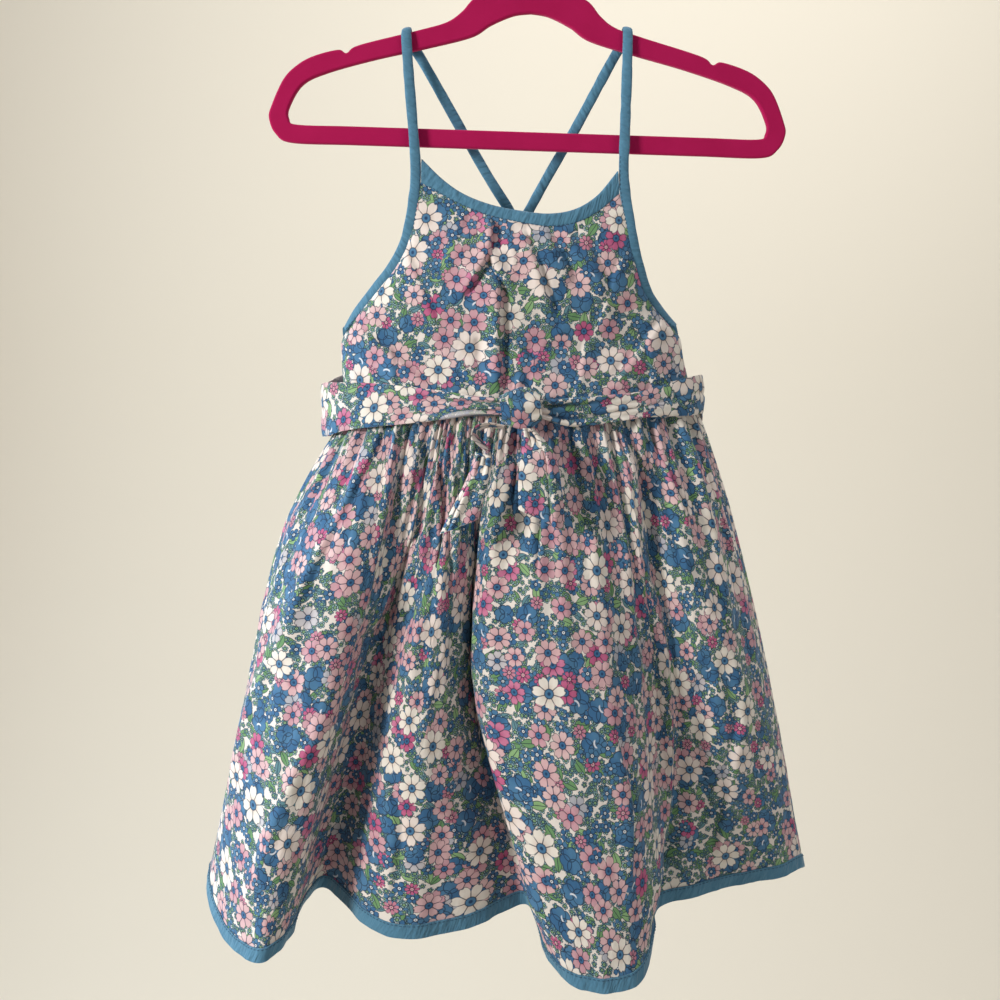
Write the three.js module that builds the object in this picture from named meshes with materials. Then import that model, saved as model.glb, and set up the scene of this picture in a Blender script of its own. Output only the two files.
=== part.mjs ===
// Toddler sundress hanging on a flocked hanger.
// Millimetres. +X is the viewer's right, the front faces -Y and +Z is up.
// The origin is the inside top of the hook, where a rail carries it.
import * as THREE from 'three';

// Driving dimensions
const CLOTH = 1.2;              // wall of the printed cotton
const SASH_CLOTH = 1.6;         // the sash is sewn double
const BINDING = 2.2;            // folded bias binding
const SEAM_GAP = 0.3;           // clearance between two sewn pieces
const HANG_X = -3.4;            // the dress hangs this far left of the hook
const WAIST = { z: -348, x: -3.6, half: 122.8, front: 50, back: 45 };
const HEM_BINDING = 8.5;        // height of the hem binding
const STRAP_HALF = 3.7;         // half the width of armhole binding and strap
const STRAP_THICK = 3.0;        // a rouleau strap is fuller than flat binding
const FRONT_COLUMNS = 84;       // four columns to a gather: 21 gathers a panel
const BACK_COLUMNS = 60;

const HANGER = { thick: 5.5, bevel: 0.9, lean: 1.8, hook: 19, wire: 1.6, shankFoot: -60 };

const COLOURS = {
  floral: { color: 0x7f93ad, roughness: 0.85, metalness: 0 },
  binding: { color: 0x3f7fa6, roughness: 0.85, metalness: 0 },
  flock: { color: 0xa3103f, roughness: 0.95, metalness: 0 },
  steel: { color: 0xc4c6c8, roughness: 0.25, metalness: 1 },
};

const rad = THREE.MathUtils.degToRad;
const lerp = THREE.MathUtils.lerp;
const at = (x, y, z) => new THREE.Vector3(x, y, z);

// Smooth value of a table's column at a place between its rows.
function tableValue(rows, place, value, where) {
  const last = rows.length - 1;
  if (where <= rows[0][place]) return rows[0][value];
  if (where >= rows[last][place]) return rows[last][value];
  let i = 0;
  while (rows[i + 1][place] < where) i += 1;
  const slope = (a, b) => (rows[b][value] - rows[a][value]) / (rows[b][place] - rows[a][place]);
  const span = rows[i + 1][place] - rows[i][place];
  const t = (where - rows[i][place]) / span;
  const m0 = slope(Math.max(i - 1, 0), i + 1) * span;
  const m1 = slope(i, Math.min(i + 2, last)) * span;
  const t2 = t * t;
  const t3 = t2 * t;
  return (2 * t3 - 3 * t2 + 1) * rows[i][value] + (t3 - 2 * t2 + t) * m0
    + (3 * t2 - 2 * t3) * rows[i + 1][value] + (t3 - t2) * m1;
}

// Solids from grids of points

function solid(positions, triangles) {
  let volume = 0;
  const corner = (i) => at(positions[3 * i], positions[3 * i + 1], positions[3 * i + 2]);
  for (let i = 0; i < triangles.length; i += 3) {
    const [a, b, c] = [0, 1, 2].map((k) => corner(triangles[i + k]));
    volume += a.dot(b.cross(c));
  }
  if (volume < 0) triangles.reverse();
  const geometry = new THREE.BufferGeometry();
  geometry.setAttribute('position', new THREE.Float32BufferAttribute(positions, 3));
  geometry.setIndex(triangles);
  geometry.computeVertexNormals();
  return geometry;
}

function gridNormal(grid, row, column, ring) {
  const rows = grid.length;
  const columns = grid[0].length;
  const left = ring ? (column + columns - 1) % columns : Math.max(column - 1, 0);
  const right = ring ? (column + 1) % columns : Math.min(column + 1, columns - 1);
  const along = grid[row][right].clone().sub(grid[row][left]);
  const down = grid[Math.min(row + 1, rows - 1)][column].clone();
  down.sub(grid[Math.max(row - 1, 0)][column]);
  return along.cross(down).normalize();
}

// A wall of even thickness centred on a grid of points. With ring, each row closes on itself.
function wall(grid, thickness, ring = false) {
  const rows = grid.length;
  const columns = grid[0].length;
  const sheet = rows * columns;
  const positions = new Array(6 * sheet);
  for (let r = 0; r < rows; r += 1) {
    for (let c = 0; c < columns; c += 1) {
      const normal = gridNormal(grid, r, c, ring).multiplyScalar(thickness / 2);
      grid[r][c].clone().add(normal).toArray(positions, 3 * (r * columns + c));
      grid[r][c].clone().sub(normal).toArray(positions, 3 * (sheet + r * columns + c));
    }
  }
  const triangles = [];
  const quad = (a, b, c, d) => triangles.push(a, b, c, a, c, d);
  const face = (r, c) => r * columns + (c % columns);
  const wide = ring ? columns : columns - 1;
  for (let r = 0; r < rows - 1; r += 1) {
    for (let c = 0; c < wide; c += 1) {
      const [a, b, d, e] = [face(r, c), face(r, c + 1), face(r + 1, c + 1), face(r + 1, c)];
      quad(a, b, d, e);
      quad(sheet + e, sheet + d, sheet + b, sheet + a);
    }
    if (!ring) {
      quad(face(r, 0), face(r + 1, 0), sheet + face(r + 1, 0), sheet + face(r, 0));
      const edge = columns - 1;
      quad(face(r + 1, edge), face(r, edge), sheet + face(r, edge), sheet + face(r + 1, edge));
    }
  }
  for (let c = 0; c < wide; c += 1) {
    quad(face(0, c + 1), face(0, c), sheet + face(0, c), sheet + face(0, c + 1));
    const foot = rows - 1;
    quad(face(foot, c), face(foot, c + 1), sheet + face(foot, c + 1), sheet + face(foot, c));
  }
  return solid(positions, triangles);
}

// Points spaced evenly between two edge curves, with an optional bulge along the face.
function between(edgeA, edgeB, rows, columns, bulge = () => null) {
  const grid = [];
  for (let r = 0; r <= rows; r += 1) {
    const a = edgeA.getPointAt(r / rows);
    const b = edgeB.getPointAt(r / rows);
    const row = [];
    for (let c = 0; c <= columns; c += 1) {
      const point = a.clone().lerp(b, c / columns);
      const push = bulge(r / rows, c / columns);
      if (push) point.add(push);
      row.push(point);
    }
    grid.push(row);
  }
  return grid;
}

const curve = (points) => new THREE.CatmullRomCurve3(points, false, 'centripetal');

// An oval strip along a path. Each path row gives a point and the way the strip faces, and the
// sections lie no further apart than the spacing.
function strip(path, spacing, half, thickness, sides) {
  const line = curve(path.map((row) => row.point));
  const facing = new THREE.CatmullRomCurve3(path.map((row) => row.face));
  const places = [0];
  for (let k = 1; k < path.length; k += 1) {
    const parts = Math.ceil(path[k].point.distanceTo(path[k - 1].point) / spacing);
    for (let j = 1; j <= parts; j += 1) places.push((k - 1 + j / parts) / (path.length - 1));
  }
  const steps = places.length - 1;
  const positions = [];
  const triangles = [];
  for (const place of places) {
    const centre = line.getPoint(place);
    const tangent = line.getTangent(place);
    const face = facing.getPoint(place);
    const across = tangent.clone().cross(face).normalize();
    const out = across.clone().cross(tangent).normalize();
    for (let s = 0; s < sides; s += 1) {
      const angle = (2 * Math.PI * (s + 0.5)) / sides;
      const point = centre.clone();
      point.addScaledVector(across, (half * Math.cos(angle)) / Math.cos(Math.PI / sides));
      point.addScaledVector(out, (thickness / 2) * Math.sin(angle) / Math.sin(Math.PI / 2));
      positions.push(point.x, point.y, point.z);
    }
  }
  const ring = (i, s) => i * sides + (s % sides);
  for (let s = 0; s < sides; s += 1) {
    for (let i = 0; i < steps; i += 1) {
      triangles.push(ring(i, s), ring(i, s + 1), ring(i + 1, s + 1));
      triangles.push(ring(i, s), ring(i + 1, s + 1), ring(i + 1, s));
    }
  }
  for (let s = 1; s < sides - 1; s += 1) {
    triangles.push(ring(0, 0), ring(0, s + 1), ring(0, s));
    triangles.push(ring(steps, 0), ring(steps, s), ring(steps, s + 1));
  }
  return solid(positions, triangles);
}

// Hanger: half outlines from the centre out and down, mirrored, then leaned about the hook.
const HANGER_OUTER = [
  [0, -60], [20, -62], [38, -69.6], [47, -79], [57, -86], [75, -91.6], [116, -102.7],
  [124.6, -108.2], [130.2, -106.2], [146, -110.4], [157.5, -116.5], [167.5, -126.5], [176, -145],
  [177.3, -153], [173, -162.5], [162, -168.2], [120, -168.4], [60, -168.4], [0, -168.4],
];
const HANGER_INNER = [
  [0, -78.6], [12, -80.4], [27, -87], [40, -95], [70.6, -103.4], [106, -112], [138, -121.6],
  [154.5, -130], [163.5, -145], [163.6, -152.6], [158, -156.2], [120, -156.2], [60, -156.2],
  [0, -156.2],
];

function mirrored(half) {
  const right = half.map(([x, z]) => new THREE.Vector2(x, z));
  const left = half.slice(1, -1).reverse().map(([x, z]) => new THREE.Vector2(-x, z));
  return [...right, ...left, right[0].clone()];
}

function outline(half, points) {
  const line = new THREE.SplineCurve(mirrored(half)).getSpacedPoints(points);
  return line.slice(0, -1).reverse();
}

function leanedFromHook(geometry) {
  geometry.translate(0, 0, HANGER.hook);
  geometry.rotateY(rad(HANGER.lean));
  geometry.translate(0, 0, -HANGER.hook);
  return geometry;
}

function hangerFrame() {
  const shape = new THREE.Shape(outline(HANGER_OUTER, 84));
  shape.holes.push(new THREE.Path(outline(HANGER_INNER, 56)));
  const depth = HANGER.thick - 2 * HANGER.bevel;
  const geometry = new THREE.ExtrudeGeometry(shape, {
    depth,
    bevelSize: HANGER.bevel,
    bevelOffset: -HANGER.bevel,
    bevelThickness: HANGER.bevel,
    bevelSegments: 1,
  });
  geometry.translate(0, 0, -depth / 2);
  geometry.rotateX(Math.PI / 2);
  return leanedFromHook(geometry);
}

function hangerHook() {
  const radius = HANGER.hook + HANGER.wire;
  const bend = (angle) => at(radius * Math.cos(rad(angle)), 0,
    radius * Math.sin(rad(angle)) - HANGER.hook);
  const path = [at(0, 0, HANGER.shankFoot + SEAM_GAP), at(0, 0, -54), at(1.5, 0, -48)];
  for (let angle = -35; angle <= 205; angle += 20) path.push(bend(angle));
  const wire = new THREE.Shape().absarc(0, 0, HANGER.wire, 0, 2 * Math.PI);
  const geometry = new THREE.ExtrudeGeometry(wire, {
    steps: 32, curveSegments: 5, bevelEnabled: false, extrudePath: curve(path),
  });
  return leanedFromHook(geometry);
}

// Height of the hanger arm's top and the way that it faces, at an x of the dress.
function armTop(x) {
  const lean = rad(HANGER.lean);
  const points = outline(HANGER_OUTER, 240).map((p) => at(
    p.x * Math.cos(lean) + (p.y + HANGER.hook) * Math.sin(lean) - HANGER_TO_DRESS, 0,
    (p.y + HANGER.hook) * Math.cos(lean) - p.x * Math.sin(lean) - HANGER.hook));
  let best = null;
  for (let i = 0; i < points.length - 1; i += 1) {
    const [a, b] = points[i].x < points[i + 1].x
      ? [points[i], points[i + 1]] : [points[i + 1], points[i]];
    if (a.x > x || b.x < x) continue;
    const z = lerp(a.z, b.z, (x - a.x) / (b.x - a.x));
    if (!best || z > best.z) {
      const along = b.clone().sub(a).normalize();
      best = { z, face: at(-along.z, 0, along.x) };
    }
  }
  return best;
}
const HANGER_TO_DRESS = HANG_X;

// Armhole and strap routes, from the side seam up to the neck corner, over the hanger and down to
// the back. Columns: x, y, z and how far the strip faces away from straight ahead, in degrees.
const ARMHOLE_LEFT = [
  [-127.9, -3.4, -289.9, 72], [-120.6, -5.5, -279.7, 52], [-105.8, -11, -262.4, 30],
  [-94.2, -13.5, -248.7, 18], [-84.6, -14.5, -231.3, 10], [-80.6, -13.5, -215, 6],
  [-77.8, -10.5, -195, 2], [-77.3, -8.5, -180, 0], [-78.8, -7, -156, 0], [-81.8, -5.4, -115, 0],
];
const ARMHOLE_RIGHT = [
  [103.2, -3.2, -288.2, -72], [95.6, -4.5, -281, -55], [82.4, -11, -264.4, -30],
  [76.5, -13.5, -248.6, -18], [72.2, -14.5, -234, -10], [69.2, -13.5, -218, -6],
  [66.2, -10.5, -199, -2], [65.1, -8.5, -184, 0], [65.6, -7, -158, 0], [66.6, -5.4, -116, 0],
];
const STRAP_TOP = { left: -83, right: 66.8 };

// Where each strap comes down behind: it leaves the hanger, crosses, and meets the back band.
const STRAP_BACK_LEFT = [[-76, 5.2, -103], [-48, 11, -150], [-27.6, 16, -184], [-5.3, 20.5, -217.5],
  [22, 24, -260], [43.2, 26.6, -294.6]];
const STRAP_BACK_RIGHT = [[60.2, 5.2, -103], [31.6, 13, -154], [13.6, 19.5, -184],
  [-5.3, 25, -217.5], [-28, 27, -258], [-48.6, 28.4, -294.6]];

function strapPath(armhole, topX, backRoute) {
  const turned = (degrees) => at(-Math.sin(rad(degrees)), -Math.cos(rad(degrees)), 0);
  const path = armhole.map(([x, y, z, turn]) => ({ point: at(x, y, z), face: turned(turn) }));
  const top = armTop(topX);
  const reach = HANGER.thick / 2 + 0.55 + STRAP_THICK / 2;
  for (const angle of [-90, -60, -30, 0, 30, 60, 90]) {
    const up = Math.cos(rad(angle));
    const back = Math.sin(rad(angle));
    path.push({
      point: at(topX, reach * back, top.z - 2.2 + reach * up),
      face: at(top.face.x * up, back, top.face.z * up).normalize(),
    });
  }
  for (const [x, y, z] of backRoute) path.push({ point: at(x, y, z), face: at(0, 1, 0) });
  return path;
}

// Front neckline: upper and lower edge of its binding, from the left strap to the right one.
const NECK_UPPER = [[-73.1, -8.8, -175], [-58.5, -11.5, -189.2], [-44.8, -14, -198.8],
  [-27.1, -16, -206], [-6, -18, -210.6], [14.4, -18.5, -212.6], [31.4, -16.5, -209.4],
  [46, -13, -200.5], [61, -8.8, -183]];
const NECK_LOWER = [[-73.4, -9.6, -191.8], [-58.5, -12.5, -200.6], [-44.8, -15, -207.7],
  [-27.1, -17.5, -214.6], [-6, -19.5, -219.4], [14.4, -20, -222.2], [31.8, -18, -219.6],
  [47, -14, -212], [61.8, -9.6, -199.6]];

// Side seams of the bodice, from the armhole down to the waist: x and z.
const SIDE_LEFT = [[-130.8, -298.5], [-131, -308], [-130.2, -325], [WAIST.x - WAIST.half, -347.7]];
const SIDE_RIGHT = [[106.6, -296], [109, -308], [113.5, -327], [WAIST.x + WAIST.half, -347.7]];

const lowered = (points, drop) => points.map(([x, y, z]) => at(x, y, z - drop));

// A point of the waist's oval. Turn 0 is the wearer's right side, 90 the front, 270 the back.
function waistPoint(turn, z, standOff = 0) {
  const depth = Math.sin(rad(turn)) >= 0 ? WAIST.front : WAIST.back;
  return at(WAIST.x - (WAIST.half + standOff) * Math.cos(rad(turn)),
    -(depth + standOff) * Math.sin(rad(turn)), z);
}

// The armhole strip's inner edge, where the bodice's cloth ends.
function innerEdge(armhole, side) {
  const line = curve(armhole.map(([x, y, z]) => at(x, y, z)));
  const points = [];
  for (let i = 1; i <= 8; i += 1) {
    const t = (i / 8) * 0.66;
    const along = line.getTangent(t);
    const inward = at(along.z, 0, -along.x).normalize().multiplyScalar(side);
    const reach = STRAP_HALF + SEAM_GAP + 0.6;
    points.unshift(line.getPoint(t).addScaledVector(inward, reach).add(at(0, -0.6, 0)));
  }
  return points;
}

// Bodice folds. Columns: upper x and z, lower x and z, width, and how far the fold stands out.
const BODICE_FOLDS = [
  [-25.5, -216, -27, -338, 5.5, 4.2], [-16.5, -216, -18, -338, 5, -4.2],
  [-34, -214, -56, -292, 6, 2.6], [-44, -222, -58, -262, 6, -1.8],
  [4, -222, 18, -300, 6, -2.8], [-4, -222, -3, -285, 5, 2.4],
  [18, -224, 46, -284, 6, 2.6], [30, -222, 62, -268, 6, -2],
  [-118, -292, -60, -336, 8, 2.2], [-100, -290, -50, -318, 7, -1.6],
  [95, -286, 52, -336, 8, 2.2], [80, -290, 40, -312, 7, -1.6],
];

function foldOut(x, z) {
  let out = 0;
  for (const [x0, z0, x1, z1, width, height] of BODICE_FOLDS) {
    const length = Math.hypot(x1 - x0, z1 - z0);
    const t = ((x - x0) * (x1 - x0) + (z - z0) * (z1 - z0)) / length ** 2;
    const side = ((x - x0) * (z1 - z0) - (z - z0) * (x1 - x0)) / length;
    const ends = THREE.MathUtils.smoothstep(t, -0.08, 0.08)
      * (1 - THREE.MathUtils.smoothstep(t, 0.6, 1.02));
    out += height * ends * Math.exp(-((side / width) ** 2));
  }
  return out;
}

function bodiceFrontGrid(rows, columns) {
  const top = curve(lowered(NECK_LOWER, SEAM_GAP + 0.3));
  const leftCorner = top.getPoint(0);
  const rightCorner = top.getPoint(1);
  const left = curve([leftCorner, ...innerEdge(ARMHOLE_LEFT, 1).slice(1),
    ...SIDE_LEFT.map(([x, z]) => at(x, -0.3, z))]);
  const right = curve([rightCorner, ...innerEdge(ARMHOLE_RIGHT, -1).slice(1),
    ...SIDE_RIGHT.map(([x, z]) => at(x, -0.3, z))]);
  const grid = [];
  for (let r = 0; r <= rows; r += 1) {
    const v = r / rows;
    const l = left.getPointAt(v);
    const m = right.getPointAt(v);
    const row = [];
    for (let c = 0; c <= columns; c += 1) {
      const turn = (180 * c) / columns;
      const u = (1 - Math.cos(rad(turn))) / 2;
      const foot = waistPoint(turn, WAIST.z + SEAM_GAP);
      foot.y -= 0.3;
      const point = at(0, 0, 0);
      for (const key of ['x', 'y', 'z']) {
        const head = top.getPoint(u)[key];
        point[key] = lerp(head, foot[key], v) + lerp(l[key], m[key], u)
          - lerp(lerp(leftCorner[key], rightCorner[key], u), lerp(l0(left)[key], l0(right)[key], u), v);
      }
      const inside = THREE.MathUtils.smoothstep(Math.sin(rad(turn)), 0, 0.3)
        * THREE.MathUtils.smoothstep(v, 0, 0.06) * (1 - THREE.MathUtils.smoothstep(v, 0.9, 1));
      point.y += 5 * Math.sin(Math.PI * v) * Math.sin(rad(turn));
      point.y -= inside * foldOut(point.x, point.z);
      row.push(point);
    }
    grid.push(row);
  }
  return grid;
}
const l0 = (edge) => edge.getPoint(1);

// Back band: height of its top edge above the waist and its form, at a turn from 180 to 360.
function backTop(turn, below) {
  const share = Math.sin(rad(turn - 180));
  const z = lerp(turn < 270 ? -289.5 : -291.5, -303, share ** 0.8) - below;
  const drop = (WAIST.z - z) / (WAIST.z + 291);
  const x = lerp(WAIST.x, -12.5, drop) - lerp(WAIST.half, 117, drop) * Math.cos(rad(turn));
  return at(x, lerp(WAIST.back, 29, drop) * share, z);
}

function backGrid(rows, columns, upper, lower) {
  const grid = [];
  for (let r = 0; r <= rows; r += 1) {
    const row = [];
    for (let c = 0; c <= columns; c += 1) {
      const turn = lerp(181, 359, c / columns);
      row.push(upper(turn).lerp(lower(turn), r / rows).add(at(0, 0.3, 0)));
    }
    grid.push(row);
  }
  return grid;
}

// Skirt. Fold lines from the wearer's right side, across the front, to the left side. Columns:
// waist turn in degrees, then x and y where the line passes hip and knee height, then the hem.
const HIP = 0.26;
const KNEE = 0.57;
const FRONT_FOLDS = [
  { turn: 0, hip: [-175, -4], knee: [-203, -7], hem: [-235, -10, -696] },
  { turn: 15, hip: [-165, -36], knee: [-191, -44], hem: [-211, -60, -715] },
  { turn: 29, hip: [-140, -61], knee: [-161, -76], hem: [-180, -90, -715] },
  { turn: 43, hip: [-109, -66], knee: [-134, -76], hem: [-167, -73, -709] },
  { turn: 59, hip: [-87, -48], knee: [-113, -38], hem: [-150, -26, -695] },
  { turn: 67, hip: [-64, -64], knee: [-80, -72], hem: [-94, -80, -702] },
  { turn: 73, hip: [-47, -63], knee: [-56, -68], hem: [-48, -71, -702] },
  { turn: 79, hip: [-37, -46], knee: [-38, -38], hem: [-2, -46, -696] },
  { turn: 84, hip: [-27, -58], knee: [-27, -68], hem: [9, -88, -708] },
  { turn: 89, hip: [-9, -67], knee: [-7, -84], hem: [21, -105, -718] },
  { turn: 98, hip: [18, -71], knee: [24, -89], hem: [44, -111, -723] },
  { turn: 107, hip: [44, -68], knee: [55, -85], hem: [71, -105, -721] },
  { turn: 114, hip: [62, -59], knee: [74, -66], hem: [85, -80, -707] },
  { turn: 120, hip: [72, -48], knee: [86, -40], hem: [93, -40, -702] },
  { turn: 129, hip: [90, -54], knee: [106, -51], hem: [123, -35, -696] },
  { turn: 143, hip: [119, -46], knee: [138, -48], hem: [161, -24, -691] },
  { turn: 161, hip: [140, -26], knee: [164, -29], hem: [188, -19, -689] },
  { turn: 180, hip: [149, -2], knee: [177, -3], hem: [205, -5, -688] },
];
// The back is one even set of folds, from the left side round to the right.
const BACK_FOLDS = { count: 16, depth: 92, wave: 13, hem: -694 };

function backFold(index) {
  const turn = 180 + (180 * index) / BACK_FOLDS.count;
  const share = Math.sin(rad(turn - 180));
  const first = FRONT_FOLDS[FRONT_FOLDS.length - 1];
  const last = FRONT_FOLDS[0];
  const out = BACK_FOLDS.wave * (index % 2 ? 1 : -1) * share ** 0.5;
  const place = (a, b, depth, wave) => {
    const half = (a[0] - b[0]) / 2 + out * wave;
    return [(a[0] + b[0]) / 2 - half * Math.cos(rad(turn)),
      lerp(lerp(a[1], b[1], index / BACK_FOLDS.count), depth + out * wave, share)];
  };
  return {
    turn,
    hip: place(first.hip, last.hip, 60, 0.5),
    knee: place(first.knee, last.knee, 76, 0.8),
    hem: [...place(first.hem, last.hem, BACK_FOLDS.depth, 1), BACK_FOLDS.hem - 5 * (index % 2)],
  };
}

const FOLDS = [...FRONT_FOLDS];
for (let i = 1; i < BACK_FOLDS.count; i += 1) FOLDS.push(backFold(i));
const SKIRT_TOP = WAIST.z - SEAM_GAP;
const SKIRT_LIFT = HEM_BINDING + SEAM_GAP;
const around = (points) => new THREE.CatmullRomCurve3(points, true, 'centripetal');
const HIP_Z = -437;
const KNEE_Z = -545;
const SKIRT_RINGS = [
  { fall: 0, line: around(FOLDS.map((f) => waistPoint(f.turn, SKIRT_TOP))) },
  { fall: HIP, line: around(FOLDS.map((f) => at(f.hip[0], f.hip[1], HIP_Z))) },
  { fall: KNEE, line: around(FOLDS.map((f) => at(f.knee[0], f.knee[1], KNEE_Z))) },
  { fall: 1, line: around(FOLDS.map((f) => at(f.hem[0], f.hem[1], f.hem[2] + SKIRT_LIFT))) },
];

// A point of the skirt before gathers: place counts fold lines around, fall runs 0 to 1 down.
function skirtBase(place, fall) {
  const rows = SKIRT_RINGS.map((ring) => ({
    fall: ring.fall, ...ring.line.getPoint((place / FOLDS.length) % 1),
  }));
  return at(...['x', 'y', 'z'].map((key) => tableValue(rows, 'fall', key, fall)));
}

// Columns share out the cloth: by arc length of the hem and twice that of the gathered waist.
function columnPlaces(from, to, count) {
  const fine = 600;
  const cloth = [0];
  for (let i = 1; i <= fine; i += 1) {
    const [p, q] = [i - 1, i].map((k) => lerp(from, to, k / fine));
    cloth.push(cloth[i - 1] + skirtBase(p, 1).distanceTo(skirtBase(q, 1))
      + 2 * skirtBase(p, 0).distanceTo(skirtBase(q, 0)));
  }
  const places = [];
  let i = 0;
  for (let c = 0; c <= count; c += 1) {
    const wanted = (cloth[fine] * c) / count;
    while (i < fine - 1 && cloth[i + 1] < wanted) i += 1;
    places.push(lerp(from, to, (i + (wanted - cloth[i]) / (cloth[i + 1] - cloth[i])) / fine));
  }
  return places;
}

// Strength of the gathers and of the small folds below them, by fall.
const GATHERS = [
  { fall: 0, gather: 0.8, fold: 0 }, { fall: 0.04, gather: 1, fold: 0.3 },
  { fall: 0.12, gather: 0.8, fold: 0.9 }, { fall: 0.26, gather: 0.4, fold: 1 },
  { fall: 0.5, gather: 0.12, fold: 0.7 }, { fall: 0.75, gather: 0, fold: 0.4 },
  { fall: 1, gather: 0, fold: 0.25 },
];
const SKIRT_FALLS = [0, 0.02, 0.05, 0.1, 0.17, 0.26, 0.38, 0.52, 0.68, 0.84, 1];

function skirtPoint(places, column, fall) {
  const point = skirtBase(places[column], fall);
  const step = 0.02;
  const along = skirtBase(places[column] + step, fall).sub(skirtBase(places[column] - step
    + FOLDS.length, fall));
  const out = at(along.y, -along.x, 0).normalize();
  const next = skirtBase(places[Math.min(column + 1, places.length - 1)], fall);
  const before = skirtBase(places[Math.max(column - 1, 0)], fall);
  const pitch = next.distanceTo(before) * (column % (places.length - 1) ? 2 : 4);
  if (column === 0) point.lerp(next, (SEAM_GAP + 0.1) / point.distanceTo(next));
  if (column === places.length - 1) {
    point.lerp(before, (SEAM_GAP + 0.1) / point.distanceTo(before));
  }
  const uneven = 0.75 + 0.35 * Math.sin(2.3 * column);
  const gather = [0, 1, 0, -1][column % 4] * Math.min(0.2 * pitch, 3.4) * uneven;
  const fold = 2.6 * Math.sin((2 * Math.PI * column) / 12) * uneven;
  const amount = gather * tableValue(GATHERS, 'fall', 'gather', fall)
    + fold * tableValue(GATHERS, 'fall', 'fold', fall);
  return point.addScaledVector(out, amount);
}

function skirtGrids(from, to, columns) {
  const places = columnPlaces(from, to, columns);
  const panel = SKIRT_FALLS.map((fall) => places.map((_, c) => skirtPoint(places, c, fall)));
  const hem = panel[panel.length - 1].map((foot, c) => {
    const down = foot.clone().sub(panel[panel.length - 2][c]).normalize();
    return [foot.clone().addScaledVector(down, SEAM_GAP + 0.2),
      foot.clone().addScaledVector(down, SEAM_GAP + 0.2 + HEM_BINDING)];
  });
  return { panel, hem: [0, 1].map((row) => hem.map((pair) => pair[row])) };
}

// Sash. Turn round the waist in degrees, stand off from it at the top and foot edge, and the
// height of both edges. It stands off at the sides, where it hangs loose.
const SASH = [
  { turn: -165, top: 1.8, foot: 11, topZ: -334, footZ: -359 },
  { turn: -130, top: 1.5, foot: 12.5, topZ: -337, footZ: -363 },
  { turn: -90, top: 1.5, foot: 13, topZ: -336, footZ: -365 },
  { turn: -50, top: 2, foot: 13, topZ: -332, footZ: -366 },
  { turn: -22, top: 11, foot: 15, topZ: -322, footZ: -367 },
  { turn: -4, top: 20, foot: 20, topZ: -329, footZ: -366 },
  { turn: 10, top: 17, foot: 17, topZ: -327, footZ: -364.5 },
  { turn: 25, top: 10, foot: 13, topZ: -326.5, footZ: -359.5 },
  { turn: 40, top: 5, foot: 9.8, topZ: -327, footZ: -356 },
  { turn: 54, top: 3.4, foot: 7, topZ: -329, footZ: -353 },
  { turn: 66, top: 4, foot: 6.6, topZ: -331.5, footZ: -350 },
  { turn: 76, top: 7.5, foot: 8, topZ: -334.5, footZ: -346.5 },
  { turn: 87.5, top: 11.5, foot: 11.5, topZ: -336.5, footZ: -346.5 },
];
const SASH_RIGHT = [
  { turn: 92.5, top: 11.5, foot: 11.5, topZ: -337, footZ: -347 },
  { turn: 104, top: 7.5, foot: 8.5, topZ: -335.5, footZ: -354.5 },
  { turn: 116, top: 4, foot: 7, topZ: -334, footZ: -352 },
  { turn: 128, top: 3.4, foot: 6, topZ: -332, footZ: -349.5 },
  { turn: 140, top: 3.6, foot: 6, topZ: -327, footZ: -349 },
  { turn: 152, top: 5, foot: 8, topZ: -323, footZ: -349 },
  { turn: 165, top: 5, foot: 7, topZ: -321.5, footZ: -348.5 },
  { turn: 180, top: 3, foot: 5, topZ: -324, footZ: -350 },
  { turn: 195, top: 2.4, foot: 11, topZ: -333.7, footZ: -358.7 },
];

function sashGrid(table, from, to, rows) {
  const grid = [];
  for (let r = 0; r <= rows; r += 1) {
    const turn = lerp(from, to, r / rows);
    const value = (key) => tableValue(table, 'turn', key, turn);
    const top = waistPoint(turn, value('topZ'), value('top'));
    const foot = waistPoint(turn, value('footZ'), value('foot'));
    grid.push([0, 0.33, 0.67, 1].map((share) => {
      const point = top.clone().lerp(foot, share);
      const outward = at(top.x - WAIST.x, top.y * 3, 0).normalize();
      return point.addScaledVector(outward, share === 0.33 ? 0.8 : 0);
    }));
  }
  return grid;
}

// Knot: a sleeve of cloth round the sash, pinched at both ends.
const KNOT = { x: -6, y: -61.5, z: -342, half: 13 };
const KNOT_RINGS = [
  { along: -1, high: 7.8, deep: 6.3 }, { along: -0.6, high: 10.5, deep: 7.2 },
  { along: 0, high: 12.4, deep: 8.4 }, { along: 0.6, high: 11, deep: 7.2 },
  { along: 1, high: 7.8, deep: 5.8 },
];

function knotGrid() {
  return KNOT_RINGS.map((ring, r) => Array.from({ length: 20 }, (_, i) => {
    const angle = (2 * Math.PI * i) / 20;
    const pleat = r > 0 && r < 4 ? 0.5 * Math.sin(5 * angle) : 0;
    return at(KNOT.x + ring.along * KNOT.half, KNOT.y + (ring.deep + pleat) * Math.cos(angle),
      KNOT.z + (ring.high + pleat) * Math.sin(angle));
  }));
}

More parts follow.
